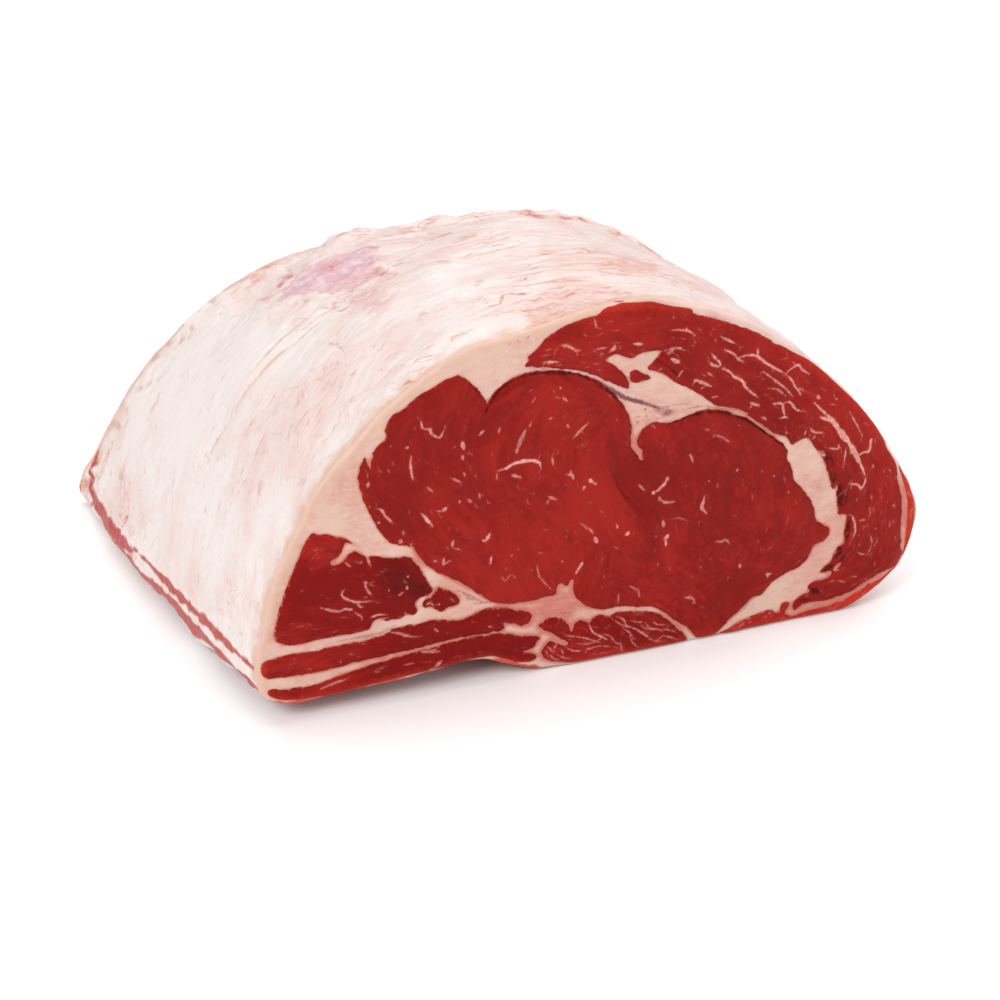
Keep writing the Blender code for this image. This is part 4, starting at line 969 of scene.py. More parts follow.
def muscle_piece(name, cut, detail):
    """The muscles of one group on one cut: domed, fibrous, marbled slabs set into the seam fat."""
    loops, marbling, grain, tone, step = MUSCLES[name]
    step = step * detail
    edges = [cut.muscle(evenly(loop, 0.7)) for loop in loops]
    every = np.vstack(edges)
    net = Net(*(every.min(axis=0) - 3.0), *(every.max(axis=0) + 3.0), step)
    seed = len(name) + (0 if cut.near else 40)
    inside = net.depth_inside(edges, 9.0)
    ragged = net.noise(2.1, seed) * 0.22 + net.noise(0.9, seed + 1) * 0.12
    rim_gap = net.depth_inside([cut.edge], 5.0)
    inside = inside + ragged * ease(9.0 - np.abs(inside), 0.0, 6.0) * ease(rim_gap, 1.0, 5.0)
    inside = inside + RIM_REACH.get(name, 0.0) * ease(-rim_gap, -3.6, -1.8) * ease(net.x, 0.0, 20.0)

    deep = (inside > np.where(rim_gap < BESIDE_SKIN, -0.5, -1.5)) & (rim_gap > 0.35)
    cells = kept_cells(deep)
    piece, x, h, ring = face_blank(name if cut.near else "far_" + name, net, cells, 1)

    direction = net.grain(cut.spots(grain))
    fibre = net.combed(direction, step * 1.9, 5.0, seed + 2)
    bundle = net.combed(direction, 2.6, 9.0, seed + 3)
    cloud = net.combed(direction, 7.0, 16.0, seed + 4)

    lines = [(width, strength, *cut.muscle(points)) for width, strength, *points in marbling]
    lines += stray_streaks(net, inside, direction, name, seed)
    fleck, pale = net.streaks(lines)
    fleck = net.frayed(fleck, 0.16, seed + 6)
    shade = net.patches(cut.spots(tone))

    dome = np.where(inside > 0, 1.0 - np.exp(-np.maximum(inside, 0) / 1.3), 0.0)
    relief = MUSCLE_RISE * 0.95 * dome + np.minimum(inside, 0.0) * 1.4
    relief += dome * (0.2 * bundle + 0.05 * fibre + 0.36 * net.noise(12.0, seed + 5))
    relief += np.where(fleck > -0.3, 0.05 * ease(fleck, -0.3, 0.3), 0.0)
    if cut.near:
        relief += net.creases(CUT_CREASES)
        # On the near cut, painted shade darkens the lean along the clefts
        cleft_shade, dark = net.streaks(CLEFT_SHADE_LINES)
        shade -= 3.4 * dark * ease(net.frayed(cleft_shade, 0.4, seed + 8), -0.35, 0.3)
    relief -= rim_drop(rim_gap, net.x, net.h) + 1.3 * (1.0 - ease(rim_gap, 0.4, 1.1))
    relief = np.minimum(relief, MUSCLE_RISE + 0.4)

    at = net.at(x, h)
    back = np.where(rim_gap[at] < BESIDE_SKIN, 2.2, 4.5)
    y = cut.plane(x) + np.where(ring > 0, back, -relief[at]) * (1 if cut.near else -1)
    shape(piece, np.stack([x, y, np.maximum(h, 0.05)], axis=-1))
    turn_to_far(piece, cut)
    fields = {"edge": inside, "fleck": fleck, "pale": pale, "shade": shade,
              "fibre": fibre, "bundle": bundle, "cloud": cloud, "rim": rim_gap}
    store(piece, {name: field[at] for name, field in fields.items()})
    return piece


def stray_streaks(net, inside, direction, name, seed):
    """Fine marbling between the main streaks: short, thin and faint, along the fibres."""
    rng = np.random.default_rng(seed)
    ways = {"eye_muscle": (210, 0.36, 3.2), "cap_muscle": (260, 0.4, 4.0), "lip_muscles": (70, 0.38, 3.4),
            "rib_muscles": (60, 0.4, 2.6), "back_muscles": (60, 0.6, 3.4)}
    count, width, length = ways[name]
    paler = 1.2 if name == "back_muscles" else 1.0
    lines = []
    rows, columns = np.nonzero(inside > 0.8)
    for pick in rng.integers(0, len(rows), count):
        r, c = rows[pick], columns[pick]
        angle = direction[r, c] + rng.normal(0, 0.35)
        half = length * rng.uniform(0.3, 1.0) / 2
        bend = rng.normal(0, 0.25)
        x, h = net.x[r, c], net.h[r, c]
        a = (x - half * math.cos(angle - bend), h - half * math.sin(angle - bend))
        b = (x + half * math.cos(angle + bend), h + half * math.sin(angle + bend))
        lines.append((width * rng.uniform(0.5, 1.2), rng.uniform(0.05, 0.34) * paler, a, (x, h), b))
    return lines


def fat_piece(name, cut, step):
    """The cut fat that the muscles are set in, with the rounded rim of the roast."""
    low, high = cut.edge.min(axis=0), cut.edge.max(axis=0)
    net = Net(low[0] - 1, low[1] - 1, high[0] + 1, high[1] + 1, step)
    rim_gap = net.depth_inside([cut.edge], 12.0)
    deep = rim_gap > RIM_FLAT - 0.25
    cells = kept_cells(deep)
    piece, x, h, ring = face_blank(name, net, cells, len(RIM_INSETS) - 1)

    lean = net.depth_inside([cut.muscle(evenly(loop, 0.8)) for loop in ALL_LEAN], 8.0)
    fields = {"lean": lean}
    for kind, stain_reach in (("purple", 3.0), ("pearl", 3.0), ("blood_and_shade", 2.0)):
        lines = [(width, tone, *cut.muscle(points)) for width, tone, *points in FAT_STAINS[kind]]
        fields[kind], fields[kind + "_tone"] = net.streaks(lines, stain_reach)
    relief = 0.14 * net.noise(6.0, 31) + 0.07 * net.noise(1.8, 32)
    relief *= ease(rim_gap, 2.2, 5.0)
    relief -= 2.6 * ease(lean, 0.4, 2.2)
    relief -= rim_drop(rim_gap, net.x, net.h)

    at = net.at(x, h)
    sign = 1 if cut.near else -1
    points = np.stack([x, cut.plane(x) - sign * relief[at], h], axis=-1)
    # The outermost row of the flat face lies on the line where the rounding begins
    walk = rim_walk(cells)
    round_rim = cut.round_rim(net.x[walk], net.h[walk])
    order = np.full(net.x.shape, -1)
    order[walk] = np.arange(len(walk[0]))
    order = order[at]
    border = order >= 0
    inset = np.array(RIM_INSETS)[ring]
    behind = ring - FOLDED_RING
    depth = np.where(behind >= 0, 3.1 + behind * 1.6, rim_drop(inset, x, h))
    points[border] = cut.rim(round_rim[order[border]], depth[border], inset[border])
    shape(piece, points)
    turn_to_far(piece, cut)
    gap_at = np.where(ring > 0, inset, rim_gap[at])
    fields["mingled"] = blurred((lean > 0).astype(float), max(1, round(2.0 / step)))
    fields["mingled"] += net.patches(cut.spots(FAT_TONE))
    x, h = points[:, 0], points[:, 2]
    store(piece, {name: net.read(field, x, h) for name, field in fields.items()})
    under = ease(-h, -13.0, -7.0) * ease(-x, 12.0, 18.0) * ease(-gap_at, -2.2, -1.2)
    store(piece, {"rim": gap_at, "under": under, "past": np.where(border, depth, 0.0)})
    return piece


def skin_blank(name, columns, rows):
    """A closed loaf from a grid: its long sides bridged underneath and its two ends filled.
    Returns the piece, and the column and row of each of its vertices."""
    deselect()
    bpy.ops.mesh.primitive_grid_add(x_subdivisions=columns, y_subdivisions=rows, size=2.0, location=(0, 0, 0))
    piece = added(name)
    mesh = piece.data
    flat = read_all(mesh.vertices, "co", 3)
    ends = read_all(mesh.edges, "vertices", 2, int)
    side = np.abs(np.abs(flat[:, 0]) - 1) < 1e-6
    tip = np.abs(np.abs(flat[:, 1]) - 1) < 1e-6
    long_side = side[ends].all(axis=1) & (np.abs(np.diff(flat[ends][:, :, 0], axis=1))[:, 0] < 1e-6)
    short_side = tip[ends].all(axis=1) & (np.abs(np.diff(flat[ends][:, :, 1], axis=1))[:, 0] < 1e-6)
    sharp = mesh.attributes.new("sharp_edge", "BOOLEAN", "EDGE")
    sharp.data.foreach_set("value", long_side | short_side)
    select_part(mesh, "edges", long_side)
    bpy.ops.object.mode_set(mode="EDIT")
    bpy.ops.mesh.select_mode(type="EDGE")
    bpy.ops.mesh.bridge_edge_loops()
    bpy.ops.mesh.select_all(action="SELECT")
    bpy.ops.mesh.fill_holes(sides=0)
    bpy.ops.object.mode_set(mode="OBJECT")
    bpy.ops.object.shade_smooth()
    column = np.rint((flat[:, 0] + 1) / 2 * columns).astype(int)
    row = np.rint((flat[:, 1] + 1) / 2 * rows).astype(int)
    return piece, column, row


def outline_places(first, last, gap):
    """Places round the near outline from first to last, about this gap apart, and the distance of each."""
    places, far = walked(NEAR_OUTLINE, True)
    start, end = np.interp([first, last], places, far)
    stops = np.linspace(start, end, int(round((end - start) / gap)) + 1)
    return np.interp(stops, far, places), stops - start


def skin_detail(net, wrinkle, direction, fat_side):
    """Fine relief of the outside: wrinkles, and on the fat its creases, veins, scuffs and torn far rim."""
    detail = 0.16 * wrinkle + 0.09 * net.combed(direction, 1.3, 7.0, 62)
    if not fat_side:
        return detail
    level = net.x * 0
    veins = ridges(net.x + 0.5 * net.h, net.h * 1.9, level, 10.0, 63) * ease(net.noise(26.0, 64), -0.3, 0.4)
    scuffs = ridges(net.x * 0.8 + 0.3 * net.h, net.h * 1.5, level, 4.2, 66)
    scuffs *= ease(net.noise(17.0, 67), -0.1, 0.5)
    far_rim = ease(net.h, 150.0, 172.0) * (0.9 * net.noise(8.0, 68) + 0.5 * net.noise(3.6, 69))
    return detail + net.creases(SKIN_CREASES) + 0.42 * veins + 0.22 * scuffs + far_rim + net.patches(BULGES)


def skin_piece(name, first, last, gap, tuck, fat_side):
    """The outside of the roast from one place of its outline to another, from cut to cut, and its edges
    tucked in to this height."""
    places, around = outline_places(first, last, gap)
    places, around = (np.concatenate([line[:1], line, line[-1:]]) for line in (places, around))
    columns, rows = len(places) - 1, int(round(MIDDLE_LENGTH / gap))
    piece, column, row = skin_blank(name, columns, rows)
    long = length_at(spline(NEAR_OUTLINE, places)[:, 0])[column]
    share = (SKIN_START + row / rows * (long - 2 * SKIN_START)) / long
    base = skin_at(places[column], share)
    net = Net(0.0, 0.0, around[-1] + 2 * gap, SKIN_DEPTH + 2 * gap, SKIN_DRAWING_STEP)
    u, v = around[column], share * SKIN_DEPTH

    at = net.at(u, v)
    direction = net.grain(SKIN_GRAIN if fat_side else RIB_SIDE_GRAIN)
    wrinkle = net.combed(direction, 2.2, 14.0, 61)
    detail = skin_detail(net, wrinkle, direction, fat_side)
    from_cut = np.minimum(row, rows - row).astype(float)
    from_side = np.minimum(column, columns - column).astype(float)
    relief = rough(base) + detail[at] * ease(from_cut, 0, 5) * ease(base[:, 2], 2.0, 12.0)
    relief -= 0.35 * (1 - ease(from_cut, 0, 1))
    relief -= 0.5 * (1 - ease(from_side, 1, 3))
    points = skin_at(places[column], share, relief)
    tucked = from_side == 0
    inward = points[tucked, 0] * TUCKED_IN
    points[tucked, 1] += share[tucked] * (length_at(inward) - length_at(points[tucked, 0]))
    points[tucked, 0] = inward
    points[tucked, 2] = tuck
    shape(piece, points)
    bpy.ops.object.mode_set(mode="EDIT")
    bpy.ops.mesh.select_all(action="SELECT")
    bpy.ops.mesh.normals_make_consistent(inside=False)
    bpy.ops.object.mode_set(mode="OBJECT")

    fields = {"wrinkle": wrinkle, "streak": net.combed(direction, 3.4, 26.0, 65)}
    if fat_side:
        fields.update({"hollow": detail - blurred(detail, 2), "pinkness": net.patches(SKIN_PINKNESS)})
        for kind, stains in SKIN_STAINS.items():
            lines = [(width * STAIN_SPREAD, tone, *points) for width, tone, *points in stains]
            fields[kind], fields[kind + "_tone"] = net.streaks(lines, 9.0)
    store(piece, {name: field[at] for name, field in fields.items()})
    store(piece, {"around": u, "along": v, "rim": np.minimum(share, 1 - share) * long})
    return piece


# ---------------------------------------- materials

class Recipe:
    """The nodes of one material or group, added in order and joined by socket names."""

    def __init__(self, tree):
        self.tree = tree

    def add(self, kind, settings=None, **inputs):
        """A node; its inputs are named with _ for spaces, or numbered, as _0."""
        node = self.tree.nodes.new("ShaderNode" + kind)
        for key, value in (settings or {}).items():
            setattr(node, key, value)
        for key, value in inputs.items():
            self.join(node.inputs[int(key[1:]) if key[0] == "_" else key.replace("_", " ")], value)
        return node

    def join(self, socket, value):
        """Links the socket to another, or gives it a constant."""
        if isinstance(value, bpy.types.NodeSocket):
            self.tree.links.new(value, socket)
        else:
            socket.default_value = value

    def layer(self, name):
        """A value that was stored on the piece."""
        return self.add("Attribute", {"attribute_name": name, "attribute_type": "GEOMETRY"}).outputs["Fac"]

    def math(self, what, a, b=0.0, c=0.0):
        return self.add("Math", {"operation": what}, _0=a, _1=b, _2=c).outputs[0]

    def span(self, value, low, high, to_low=0.0, to_high=1.0):
        """The value taken smoothly from one span to another."""
        return self.add("MapRange", {"interpolation_type": "SMOOTHSTEP"}, Value=value, From_Min=low,
                        From_Max=high, To_Min=to_low, To_Max=to_high).outputs[0]

    def mix(self, share, a, b):
        """Colour a, giving way to colour b by this share."""
        return self.add("Mix", {"data_type": "RGBA"}, _0=share, _6=a, _7=b).outputs[2]

    def noise(self, where, scale, detail=3.0, rough=0.55):
        return self.add("TexNoise", Vector=where, Scale=scale, Detail=detail, Roughness=rough).outputs["Fac"]

    def uneven(self, value, where, low, high, scale, detail=3.0, rough=0.55):
        """The value with noise added that runs from low to high."""
        return self.math("ADD", value, self.span(self.noise(where, scale, detail, rough), 0.3, 0.7, low, high))

    def plus(self, a, b):
        return self.math("ADD", a, b)

    def scaled(self, value, factor, base):
        """The value times the factor, and the base added."""
        return self.math("MULTIPLY_ADD", value, factor, base)

    def product(self, first, *factors):
        for factor in factors:
            first = self.math("MULTIPLY", first, factor)
        return first

    def place(self, group_name, **inputs):
        """A node group set into this material."""
        return self.add("Group", {"node_tree": bpy.data.node_groups[group_name]}, **inputs).outputs


def group(name, inputs, outputs):
    """A new node group with these sockets of each kind. Returns its recipe, what the group is given, the
    place among that, and its result."""
    tree = bpy.data.node_groups.new(name, "ShaderNodeTree")
    for way, sockets in (("INPUT", inputs), ("OUTPUT", outputs)):
        for kind, labels in sockets.items():
            for label in labels.split():
                tree.interface.new_socket(name=label, in_out=way, socket_type="NodeSocket" + kind)
    given = tree.nodes.new("NodeGroupInput").outputs
    return Recipe(tree), given, given["Vector"], tree.nodes.new("NodeGroupOutput").inputs


def muscle_group():
    """Red lean: its two reds, mixed by the broad tone, the bundles and the fibres of the cut muscle; the lowest
    tone, where the clefts' painted shade lies, turns dark red.
    """
    r, given, where, result = group(
        "cut muscle", {"Vector": "Vector", "Color": "Bright Deep Dark", "Float": "Shade Bundle Fibre Cloud"},
        {"Color": "Color", "Float": "Roughness Height"})
    speck = r.noise(where, 900.0, 3.0, 0.6)
    grainy = r.noise(where, 2600.0, 2.0, 0.5)
    tone = r.scaled(given["Bundle"], 0.2, given["Shade"])
    tone = r.scaled(given["Cloud"], 0.15, tone)
    tone = r.scaled(given["Fibre"], 0.2, tone)
    mottle = r.noise(where, 330.0, 3.0, 0.6)
    tone = r.plus(tone, r.span(speck, 0.3, 0.7, -0.09, 0.09))
    tone = r.plus(tone, r.span(mottle, 0.3, 0.7, -0.07, 0.07))
    colour = r.mix(r.span(tone, -0.55, 0.65), given["Deep"], given["Bright"])
    # The lowest tone, where painted shade lies in the clefts and where the lean is darkest, gives way to the dark
    # red
    colour = r.mix(r.span(tone, -0.7, -2.2), colour, given["Dark"])
    r.join(result["Color"], colour)
    r.join(result["Roughness"], r.span(speck, 0.3, 0.7, 0.36, 0.5))
    height = r.scaled(given["Fibre"], 0.25, r.product(grainy, 0.5))
    r.join(result["Height"], r.plus(height, speck))


def marbling_group():
    """Where marbling lies in the lean: a mask that breaks up along its edges."""
    r, given, where, result = group(
        "marbling", {"Vector": "Vector", "Float": "Fleck Paleness"}, {"Float": "Mask Veil"})
    break_up = r.span(r.noise(where, 1500.0, 3.0, 0.6), 0.25, 0.75, -0.12, 0.12)
    depth = r.plus(given["Fleck"], break_up)
    uneven = r.span(r.noise(where, 700.0, 2.0), 0.35, 0.65, 0.62, 1.05)
    core = r.product(r.span(depth, -0.2, 0.2), r.product(given["Paleness"], uneven))
    r.join(result["Mask"], core)
    r.join(result["Veil"], r.product(r.span(depth, -1.1, 0.1), given["Paleness"]))


def tissue_group():
    """Raw fat: slow changes from cream to pink, fine grains and faint threads."""
    r, given, where, result = group(
        "raw fat", {"Vector": "Vector", "Color": "Cream Pink", "Float": "Thread Pinkness"},
        {"Color": "Color", "Float": "Roughness Height"})
    slow = r.noise(where, 45.0, 4.0, 0.6)
    grains = r.noise(where, 650.0, 4.0, 0.65)
    lobes = r.add("TexVoronoi", {"feature": "SMOOTH_F1"}, Vector=where, Scale=420.0,
                  Smoothness=0.6).outputs["Distance"]
    share = r.plus(r.span(slow, 0.35, 0.7, 0.0, 0.5), given["Pinkness"])
    share = r.plus(share, r.span(grains, 0.35, 0.7, -0.08, 0.10))
    share = r.scaled(given["Thread"], 0.10, share)
    share = r.math("MAXIMUM", r.math("MINIMUM", share, 1.0), 0.0)
    r.join(result["Color"], r.mix(share, given["Cream"], given["Pink"]))
    r.join(result["Roughness"], r.span(grains, 0.3, 0.7, 0.42, 0.58))
    r.join(result["Height"], r.plus(grains, r.product(lobes, 0.5)))


def film_group():
    """Red film low on the back of the loin."""
    r, given, where, result = group(
        "side film", {"Vector": "Vector", "Color": "Film Fat"}, {"Float": "Share", "Color": "Color"})
    place = r.add("SeparateXYZ", Vector=where).outputs
    ragged = r.noise(where, 60.0, 5.0, 0.6)
    ragged = r.scaled(r.noise(where, 420.0, 4.0, 0.7), 0.35, ragged)
    height = r.plus(place["Z"], r.span(ragged, 0.45, 0.9, -0.022, 0.022))
    share = r.product(r.span(height, 0.068, 0.052), r.span(place["X"], 0.03, 0.07))
    broken = r.span(r.noise(where, 90.0, 6.0, 0.7), 0.35, 0.55, 0.25, 0.85)
    r.join(result["Share"], r.product(share, broken))
    worn = r.span(r.noise(where, 150.0, 6.0, 0.7), 0.38, 0.64)
    r.join(result["Color"], r.mix(worn, given["Film"], given["Fat"]))


def linear(colour):
    """A linear colour with alpha, from red, green and blue of 0 to 255 as they show on a screen."""
    return (*((c / 255 / 12.92) if c <= 10 else ((c / 255 + 0.055) / 1.055) ** 2.4 for c in colour), 1.0)


def new_material(name):
    """The recipe of a new material, and the place on the object, in metres."""
    material = bpy.data.materials.new(name)
    material.use_nodes = True
    material.node_tree.nodes.clear()
    r = Recipe(material.node_tree)
    return r, r.add("TexCoord").outputs["Object"]


def close_material(r, colour, roughness, height, bump, inside, coat, shine):
    """Ends a recipe in its shader. bump: strength and depth; inside: weight and radius of the light that
    gets in; coat: weight and roughness; shine: the specular level. Depth and radius are in millimetres."""
    normal = r.add("Bump", Strength=bump[0], Distance=bump[1] * MM, Height=height).outputs["Normal"]
    shader = r.add("BsdfPrincipled", Base_Color=colour, Roughness=roughness, Normal=normal,
                   Subsurface_Weight=inside[0], Subsurface_Radius=[reach * MM for reach in inside[1]],
                   Subsurface_Scale=1.0, Coat_Weight=coat[0], Coat_Roughness=coat[1], Specular_IOR_Level=shine)
    r.add("OutputMaterial", Surface=shader.outputs["BSDF"])


def colours():
    return bpy.context.scene.rib_roast_colours


def lean_material(name, bright, deep, border, jointed, dark=None):
    """Wet red lean: two reds, the soft edge towards the fat, and how strongly its bundles are set apart."""
    r, where = new_material(name)
    c = colours()
    flat = r.add("Mapping", Vector=where, Scale=(1, 0, 1)).outputs[0]
    bend = r.add("TexNoise", Vector=flat, Scale=110.0, Detail=3.0).outputs["Color"]
    bent = r.add("VectorMath", {"operation": "MULTIPLY_ADD"}, _0=bend, _1=(0.011, 0.0, 0.011), _2=flat).outputs[0]
    cells = r.add("TexVoronoi", {"feature": "DISTANCE_TO_EDGE"}, Vector=bent, Scale=190.0).outputs["Distance"]
    some = r.span(r.noise(flat, 90.0, 3.0), 0.4, 0.62)
    across = r.add("SeparateXYZ", Vector=where).outputs["X"]
    joints = r.product(r.span(cells, 0.13, 0.0), some, r.span(across, -0.01, 0.05, 0.2 * jointed, jointed))
    shade = r.math("SUBTRACT", r.layer("shade"), joints)
    meat = r.place("cut muscle", Vector=where, Bright=bright, Deep=deep, Dark=dark or c.dark_lean_and_shade, Shade=shade,
                   Bundle=r.layer("bundle"), Fibre=r.layer("fibre"), Cloud=r.layer("cloud"))
    veins = r.place("marbling", Vector=where, Fleck=r.layer("fleck"), Paleness=r.layer("pale"))
    colour = r.mix(r.product(veins["Veil"], 0.35), meat["Color"], c.marbling_veil)
    colour = r.mix(veins["Mask"], colour, c.marbling)
    warm = r.span(r.uneven(r.layer("rim"), where, -1.0, 1.0, 500.0), 4.5, 0.5, 0.0, 0.54)
    colour = r.mix(warm, colour, c.lean_rim)
    reach = r.uneven(r.layer("edge"), where, -border, border, 800.0)
    colour = r.mix(r.span(reach, border, 0.0, 0.0, 0.5), colour, c.lean_edge)
    colour = r.mix(r.span(reach, border * 0.3, -0.3, 0.0, 0.75), colour, c.seam_fat)
    height = r.scaled(veins["Mask"], 0.6, meat["Height"])
    close_material(r, colour, meat["Roughness"], height, (0.35, 0.25), (0.12, (4, 1.2, 0.8)), (0.03, 0.18), 0.06)


def skin_share(r, where, past):
    """How far the rim's fat has given way to the skin's, this far past the cut."""
    return r.span(r.uneven(past, where, -1.9, 1.9, 150.0, 4.0), 1.0, 8.5)


def rim_colour(r, where, c):
    """The rim's fat, pinker towards the back of the loin."""
    back = r.span(r.add("SeparateXYZ", Vector=where).outputs["X"], 0.02, 0.05)
    return r.mix(back, c.rim_fat, c.pink_fat)


def cut_fat_material():
    """Thick seam fat, its stained bands, and the rim where it turns into the skin."""
    r, where = new_material("cut_fat")
    c = colours()
    threads = r.add("Mapping", Vector=where, Rotation=(0, 0.5, 0), Scale=(1, 1, 4)).outputs[0]
    thread = r.span(r.noise(threads, 160.0, 4.0, 0.6), 0.35, 0.65, -1.0, 1.0)
    rim, past = r.layer("rim"), r.layer("past")
    mingled = r.layer("mingled")
    near_lean = r.product(r.span(r.layer("lean"), -1.0, 0.1), r.span(mingled, 0.2, 0.7, 0.3, 0.8))
    thin = r.plus(r.span(mingled, 0.35, 0.85), near_lean)
    fat = r.place("raw fat", Vector=where, Cream=c.cut_fat, Pink=c.seam_fat, Thread=thread,
                  Pinkness=r.product(thin, 0.8))
    band = r.span(r.uneven(rim, where, -1.6, 1.6, 120.0), 4.0, 0.5)
    band = r.product(band, r.span(mingled, 0.7, 0.3, 0.35, 1.0))
    colour = r.mix(band, fat["Color"], rim_colour(r, where, c))
    beyond = r.product(skin_share(r, where, past), r.span(past, 0.2, 1.0))
    colour = r.mix(beyond, colour, c.outer_fat)
    film = r.place("side film", Vector=where, Film=c.side_film, Fat=c.seam_fat)
    colour = r.mix(r.product(film["Share"], r.span(past, 0.1, 1.2)), colour, film["Color"])
    raw = r.uneven(r.layer("under"), where, -0.4, 0.2, 300.0)
    colour = r.mix(r.span(raw, 0.2, 0.7), colour, c.under_lean)
    strand = r.span(r.noise(where, 500.0, 3.0, 0.6), 0.3, 0.7, -0.2, 0.2)
    for kind, tint in (("pearl", c.pearl), ("purple", c.silverskin)):
        share = r.span(r.plus(r.layer(kind), strand), -0.4, 0.45)
        colour = r.mix(r.product(share, r.layer(kind + "_tone")), colour, tint)
    # Dark red: blood, and painted shade along the clefts beside the notch and the cap
    blood_and_shade = r.span(r.uneven(r.layer("blood_and_shade"), where, -0.25, 0.25, 1400.0), -0.25, 0.2)
    colour = r.mix(r.product(blood_and_shade, r.layer("blood_and_shade_tone")), colour, c.blood_and_shade)
    height = r.scaled(thread, 0.35, fat["Height"])
    close_material(r, colour, fat["Roughness"], height, (0.3, 0.3), (0.2, (5, 3, 2)), (0.1, 0.3), 0.4)


def strokes(r, where, sway, shape, level, scale, detail, rough, span):
    """Fine strokes that run round the roast. sway: scale and reach of their bends; shape: how far they
    lean over, and how short and how close they are; level: which strokes, of all that noise can give."""
    lean_over, short, close = shape
    around, along = r.layer("around"), r.layer("along")
    bend = r.span(r.noise(where, sway[0]), 0.2, 0.8, -sway[1], sway[1])
    across = r.plus(r.scaled(around, lean_over, along), bend)
    drawn = r.add("CombineXYZ", X=r.product(around, short), Y=r.product(across, close), Z=level)
    return r.span(r.noise(drawn.outputs[0], scale, detail, rough), *span)


def skin_material():
    """The fat cap: creamy and pink fat, painted shade in its creases, red threads and torn film, the trimmed patch
    and the lip.
    """
    r, where = new_material("fat_cap_skin")
    c = colours()
    streak, wrinkle, around, pinkness = (r.layer(name) for name in ("streak", "wrinkle", "around", "pinkness"))
    fat = r.place("raw fat", Vector=where, Cream=c.outer_fat, Pink=c.pink_fat, Thread=streak,
                  Pinkness=r.scaled(r.span(streak, -0.2, 1.0), 0.12, pinkness))
    colour = r.mix(skin_share(r, where, r.layer("rim")), rim_colour(r, where, c), fat["Color"])
    # Painted shade: the hollows of the relief are darkened towards the crease colour, fainter round the back
    crease_shade = r.span(r.layer("hollow"), -0.05, -0.38, 0.0, 0.6)
    colour = r.mix(r.product(crease_shade, r.span(around, *BACK_SPAN, 1.0, 0.5)), colour, c.crease_shade)

    on_crown = r.span(around, 100.0, 150.0)
    beside = r.scaled(on_crown, -0.38, 0.38)
    seen_less = r.span(around, *BACK_SPAN, 0.85, 0.85 * 0.35)
    for lean_over, level, shown in ((0.14, 0.0, on_crown), (-0.7, 60.0, beside)):
        threads = strokes(r, where, (28.0, 9.0), (lean_over, 0.09, 0.85), level, 1.0, 4.0, 0.6, (0.52, 0.66))
        some = r.span(r.scaled(pinkness, 0.16, r.noise(where, 34.0)), 0.42, 0.64)
        colour = r.mix(r.product(threads, shown, some, seen_less), colour, c.blush)

    patch = r.span(r.uneven(r.layer("purple"), where, -3.0, 3.0, 170.0, 5.0, 0.65), -1.4, 0.7)
    patch = r.product(patch, r.layer("purple_tone"))
    film = r.scaled(wrinkle, 0.06, r.noise(where, 240.0, 5.0, 0.7))
    violet = r.mix(r.span(film, 0.35, 0.65), c.silverskin_patch, c.patch_light)
    colour = r.mix(r.product(patch, 0.9), colour, violet)
    edge_on = r.product(patch, r.math("SUBTRACT", 1.0, patch), 0.9)
    colour = r.mix(edge_on, colour, c.blush)

    torn = r.uneven(r.layer("blush"), where, -1.5, 1.5, 420.0, 5.0, 0.7)
    torn = r.span(r.scaled(streak, 0.9, torn), -1.0, 1.4)
    broken = strokes(r, where, (40.0, 8.0), (0.3, 0.2, 0.5), 20.0, 0.9, 5.0, 0.65, (0.4, 0.62, 0.095, 0.95))
    colour = r.mix(r.product(torn, r.layer("blush_tone"), broken), colour, c.blush)
    spots = r.scaled(wrinkle, 0.05, r.noise(where, 260.0, 6.0, 0.75))
    colour = r.mix(r.span(spots, 0.66, 0.78, 0.0, 0.45), colour, c.blush)
    film = r.place("side film", Vector=where, Film=c.side_film, Fat=c.seam_fat)
    colour = r.mix(film["Share"], colour, film["Color"])
    lean = r.span(r.uneven(r.layer("lean"), where, -1.1, 0.9, 130.0, 3.0, 0.5), -0.9, 0.7)
    lean = r.product(lean, r.math("MINIMUM", r.layer("lean_tone"), 1.0))
    colour = r.mix(lean, colour, c.lip_lean)
    height = r.scaled(wrinkle, 0.3, fat["Height"])
    close_material(r, colour, fat["Roughness"], height, (0.3, 0.4), (0.2, (6, 3.5, 2.5)), (0.08, 0.3), 0.4)


def rib_side_material():
    """Lean and patches of fat under the roast."""
    r, where = new_material("rib_side_lean")
    c = colours()
    streak, wrinkle = r.layer("streak"), r.layer("wrinkle")
    meat = r.place("cut muscle", Vector=where, Bright=c.lean_bright, Deep=c.lean_deep, Dark=c.dark_lean_and_shade,
                   Shade=r.product(streak, 0.4), Bundle=wrinkle, Fibre=wrinkle, Cloud=streak)
    fat = r.place("raw fat", Vector=where, Cream=c.cut_fat, Pink=c.seam_fat, Thread=streak, Pinkness=0.3)
    cover = r.scaled(streak, 0.07, r.noise(where, 42.0, 6.0, 0.62))
    mask = r.span(cover, 0.50, 0.58)
    colour = r.mix(mask, meat["Color"], fat["Color"])
    height = r.scaled(mask, 1.2, meat["Height"])
    close_material(r, colour, meat["Roughness"], height, (0.4, 0.5), (0.12, (5, 2, 1)), (0.18, 0.25), 0.45)


LEAN_OF = {"eye_muscle": "eye_lean", "cap_muscle": "cap_lean", "lip_muscles": "lip_lean",
           "rib_muscles": "lip_lean", "back_muscles": "back_lean"}


